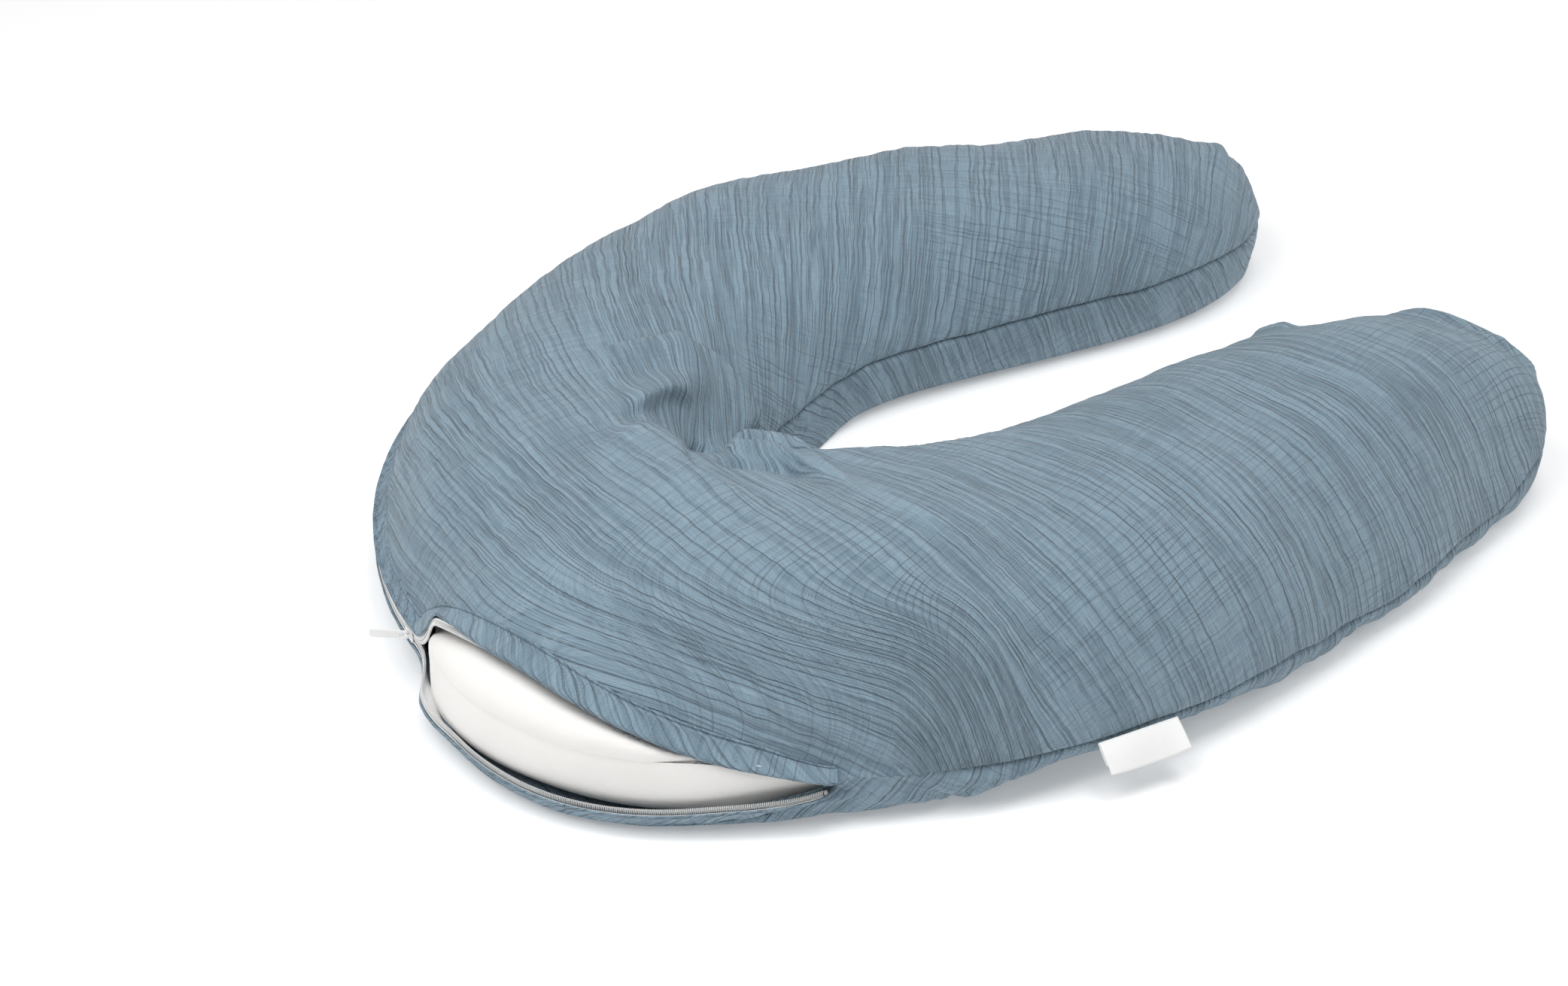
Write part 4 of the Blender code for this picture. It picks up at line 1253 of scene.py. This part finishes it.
def cloth_map(tree):
    return add_node(tree, "ShaderNodeUVMap", {"uv_map": "cloth"}).outputs[0]


def own_place(tree):
    return add_node(tree, "ShaderNodeTexCoord").outputs["Object"]


def bump(tree, height, distance, strength=1.0, normal=None):
    node = add_node(tree, "ShaderNodeBump", None, Height=height, Distance=distance, Strength=strength)
    if normal is not None:
        tree.links.new(normal, node.inputs["Normal"])
    return node.outputs[0]


GROUPS = {"crinkle": crinkle_group(), "weave": weave_group(), "tone": mottle_group()}


def crinkled_gauze():
    """Cotton double gauze in a dusty blue: uneven pale threads, with painted shade darkening the valleys
    between the crinkles.
    """
    sheen = {"Sheen_Weight": 0.22, "Sheen_Roughness": 0.5}
    made, tree, shader = start_material("crinkled_gauze", 0.92, Specular_IOR_Level=0.2, **sheen)
    place = cloth_map(tree)
    crinkle = use_group(tree, GROUPS["crinkle"], Place=place, Cross_lines=0.75)
    weave = use_group(tree, GROUPS["weave"], Place=place, Threads=1300.0)
    colour, _ = uneven(tree, place, 9.0, (0.180, 0.260, 0.328, 1), (0.202, 0.287, 0.357, 1))
    slub = add_node(tree, "ShaderNodeMapRange", None, Value=weave.outputs["Slub"], From_Min=0.40, From_Max=0.60)
    pale = mix_colours(tree, sums(tree, "MULTIPLY", slub.outputs[0], 0.45), colour, (0.295, 0.392, 0.452, 1))
    # Painted shade: the crinkles' valleys are mixed towards a blackish blue-grey.
    valley_shade_share = sums(tree, "MULTIPLY", crinkle.outputs["Valleys"], 0.62)
    colour = mix_colours(tree, valley_shade_share, pale, (0.094, 0.146, 0.190, 1))
    threads = bump(tree, weave.outputs["Height"], 0.00022, 0.8)
    feed(tree, shader, Base_Color=colour, Normal=bump(tree, crinkle.outputs["Height"], 0.0020, 1.0, threads))
    return made


def casing_cotton():
    """Smooth white cotton, a little creased."""
    made, tree, shader = start_material("casing_cotton", 0.85, Sheen_Weight=0.15)
    place = cloth_map(tree)
    weave = use_group(tree, GROUPS["weave"], Place=place, Threads=2600.0)
    colour, _ = uneven(tree, place, 14.0, (0.80, 0.785, 0.76, 1), (0.86, 0.85, 0.83, 1))
    slub = sums(tree, "MULTIPLY", weave.outputs["Slub"], 0.20)
    colour = mix_colours(tree, slub, colour, (0.90, 0.90, 0.89, 1))
    creases = noise(tree, scaled(tree, place, (28, 60, 1)), 3.0, 0.55).outputs[0]
    threads = bump(tree, weave.outputs["Height"], 0.00006, 0.4)
    feed(tree, shader, Base_Color=colour, Normal=bump(tree, creases, 0.0012, 0.6, threads))
    return made


def zip_weave():
    """The white polyester weave of the zip's tapes."""
    made, tree, shader = start_material("zip_tape_weave", 0.75, Sheen_Weight=0.1)
    place = cloth_map(tree)
    weave = use_group(tree, GROUPS["weave"], Place=place, Threads=2200.0)
    colour, _ = uneven(tree, place, 60.0, (0.78, 0.78, 0.775, 1), (0.88, 0.88, 0.88, 1))
    slub = sums(tree, "MULTIPLY", weave.outputs["Slub"], 0.35)
    colour = mix_colours(tree, slub, colour, (0.70, 0.71, 0.72, 1))
    feed(tree, shader, Base_Color=colour, Normal=bump(tree, weave.outputs["Height"], 0.00018, 0.8))
    return made


def coil_nylon():
    """The white nylon of the zip's coils."""
    made, tree, shader = start_material("coil_nylon", 0.38)
    colour, tone = uneven(tree, own_place(tree), 300.0, (0.80, 0.80, 0.79, 1), (0.90, 0.90, 0.90, 1))
    feed(tree, shader, Base_Color=colour, Normal=bump(tree, tone, 0.00004, 0.5))
    return made


def enamelled_zinc():
    """White enamel on a die-cast slider, worn to bare metal in small spots."""
    made, tree, shader = start_material("enamelled_zinc", 0.3, Coat_Weight=0.3, Coat_Roughness=0.12)
    enamel, tone = uneven(tree, own_place(tree), 420.0, (0.76, 0.76, 0.75, 1), (0.86, 0.86, 0.86, 1))
    worn = add_node(tree, "ShaderNodeMapRange", None, Value=tone, From_Min=0.66, From_Max=0.72).outputs[0]
    colour = mix_colours(tree, worn, enamel, (0.62, 0.62, 0.63, 1))
    feed(tree, shader, Base_Color=colour, Metallic=worn, Normal=bump(tree, tone, 0.00003, 0.6))
    feed(tree, shader, Roughness=sums(tree, "MULTIPLY_ADD", tone, 0.20, 0.22))
    return made


def satin_label(place_of=cloth_map, name="satin_label"):
    """The white satin of the labels."""
    made, tree, shader = start_material(name, 0.42, Sheen_Weight=0.1)
    place = place_of(tree)
    weave = use_group(tree, GROUPS["weave"], Place=place, Threads=3200.0)
    colour, _ = uneven(tree, place, 45.0, (0.80, 0.80, 0.795, 1), (0.87, 0.87, 0.87, 1))
    feed(tree, shader, Base_Color=colour, Normal=bump(tree, weave.outputs["Height"], 0.00006, 0.7))
    feed(tree, shader, Roughness=sums(tree, "MULTIPLY_ADD", weave.outputs["Slub"], 0.3, 0.30))
    return made


def sewing_thread():
    """Blue thread, darker than the gauze."""
    made, tree, shader = start_material("sewing_thread", 0.6, Sheen_Weight=0.2)
    colour, tone = uneven(tree, own_place(tree), 700.0, (0.10, 0.155, 0.190, 1), (0.17, 0.245, 0.290, 1))
    feed(tree, shader, Base_Color=colour, Normal=bump(tree, tone, 0.0001, 0.7))
    return made


def polystyrene_beads():
    """White foam beads, a few millimetres across, with painted shade greying the gaps between them."""
    made, tree, shader = start_material("polystyrene_beads", 0.65)
    cells = add_node(tree, "ShaderNodeTexVoronoi", {"feature": "F1"}, Vector=own_place(tree), Scale=330.0)
    dome_and_gap_shade = sums(tree, "SUBTRACT", 1.0, sums(tree, "MULTIPLY", cells.outputs["Distance"], 1.3))
    # Painted shade: each bead's colour goes from white at its top to grey at its edge, where it meets the next;
    # the same value is also its bump height.
    colour = mix_colours(tree, dome_and_gap_shade, (0.66, 0.66, 0.66, 1), (0.90, 0.90, 0.89, 1))
    feed(tree, shader, Base_Color=colour, Normal=bump(tree, dome_and_gap_shade, 0.0012, 0.9))
    return made


# ---------------------------------------------------------------- stage


FLOOR_HALF = 6.0
FLOOR_GLOW = 0.20
WORLD_LIGHT = 0.40
LIGHT_SIZE = 1.4
LIGHT_AIM = (0, 0, 0.05)

# Each light's place and power in watts.
LIGHTS = {
    "key": ((-1.0, -0.2, 1.6), 19),
    "overhead": ((0.3, -0.4, 3.0), 27),
    "right_fill": ((1.9, -0.9, 1.8), 13),
}


def make_floor():
    """A bright floor without an edge in view."""
    mesh = bpy.data.meshes.new("floor")
    corners = [(x * FLOOR_HALF, y * FLOOR_HALF, 0) for x, y in ((-1, -1), (1, -1), (1, 1), (-1, 1))]
    mesh.from_pydata(corners, [], [(0, 1, 2, 3)])
    floor = bpy.data.objects.new("floor", mesh)
    bpy.context.scene.collection.objects.link(floor)
    made, tree, shader = start_material("paper_floor", 0.9)
    colour, _ = uneven(tree, own_place(tree), 2.0, (0.90, 0.90, 0.90, 1), (0.92, 0.92, 0.92, 1))
    feed(tree, shader, Base_Color=colour, Emission_Color=(1, 1, 1, 1), Emission_Strength=FLOOR_GLOW)
    mesh.materials.append(made)


def add_light(name, place, power):
    data = bpy.data.lights.new(name, "AREA")
    data.shape = "DISK"
    data.size = LIGHT_SIZE
    data.energy = power
    lamp = bpy.data.objects.new(name, data)
    bpy.context.scene.collection.objects.link(lamp)
    lamp.location = place
    lamp.rotation_euler = (Vector(LIGHT_AIM) - Vector(place)).to_track_quat("-Z", "Y").to_euler()


def make_lights():
    scene = bpy.context.scene
    scene.view_settings.view_transform = "Standard"
    scene.world = bpy.data.worlds.new("studio")
    scene.world.use_nodes = True
    background = scene.world.node_tree.nodes["Background"]
    background.inputs["Color"].default_value = (1.0, 1.0, 1.0, 1)
    background.inputs["Strength"].default_value = WORLD_LIGHT
    for name, (place, power) in LIGHTS.items():
        add_light(name, place, power)


CAMERA_AZIMUTH = -27.79
CAMERA_HEIGHT = 35.79
CAMERA_DISTANCE = 2.039
CAMERA_LENS = 62.9
CAMERA_AIM = (-0.1193, -0.0036, 0.05)


def make_camera():
    """Looks down on the bend from the -Y side. Azimuth 0 looks along +Y."""
    turn = math.radians(CAMERA_AZIMUTH)
    lean = math.radians(CAMERA_HEIGHT)
    back = Vector((math.sin(turn) * math.cos(lean), -math.cos(turn) * math.cos(lean), math.sin(lean)))
    right = Vector((math.cos(turn), math.sin(turn), 0))
    data = bpy.data.cameras.new("camera")
    data.lens = CAMERA_LENS
    data.sensor_width = 36
    camera = bpy.data.objects.new("camera", data)
    bpy.context.scene.collection.objects.link(camera)
    axes = Matrix((right, back.cross(right), back)).transposed().to_4x4()
    camera.matrix_world = Matrix.Translation(Vector(CAMERA_AIM) + back * CAMERA_DISTANCE) @ axes
    bpy.context.scene.camera = camera


# ---------------------------------------------------------------- the pillow


def paint_node(node, finish):
    piece = frame["nodes"][node]
    piece.data.materials.clear()
    piece.data.materials.append(finish)


# Each half of the zip: its side, its name, its facing's width and how far that facing hides the coil.
ZIP_HALVES = ((1, "upper", 0.0150, 0.0080), (-1, "lower", 0.0120, 0.0048))
ZINC_NODES = ("slider_body", "pull_tab", "bottom_stop", "top_stop_upper", "top_stop_lower")


def main():
    make_floor()
    make_lights()
    make_camera()
    gauze = crinkled_gauze()
    cotton = casing_cotton()
    woven = zip_weave()
    nylon = coil_nylon()
    zinc = enamelled_zinc()
    satin = satin_label()
    thread = sewing_thread()
    panels = {1: make_cover_top(gauze), -1: make_cover_bottom(gauze)}
    make_casing(cotton)
    make_beads(polystyrene_beads())
    for side, name, width, hides_coil in ZIP_HALVES:
        make_coil(side, name, nylon)
        make_tape(side, name, panels[side], woven)
        make_facing(side, name, width, hides_coil, panels[side], gauze, thread)
    make_side_label(satin)
    for node in ZINC_NODES:
        paint_node(node, zinc)
    paint_node("care_label", satin_label(own_place, "care_satin"))


main()
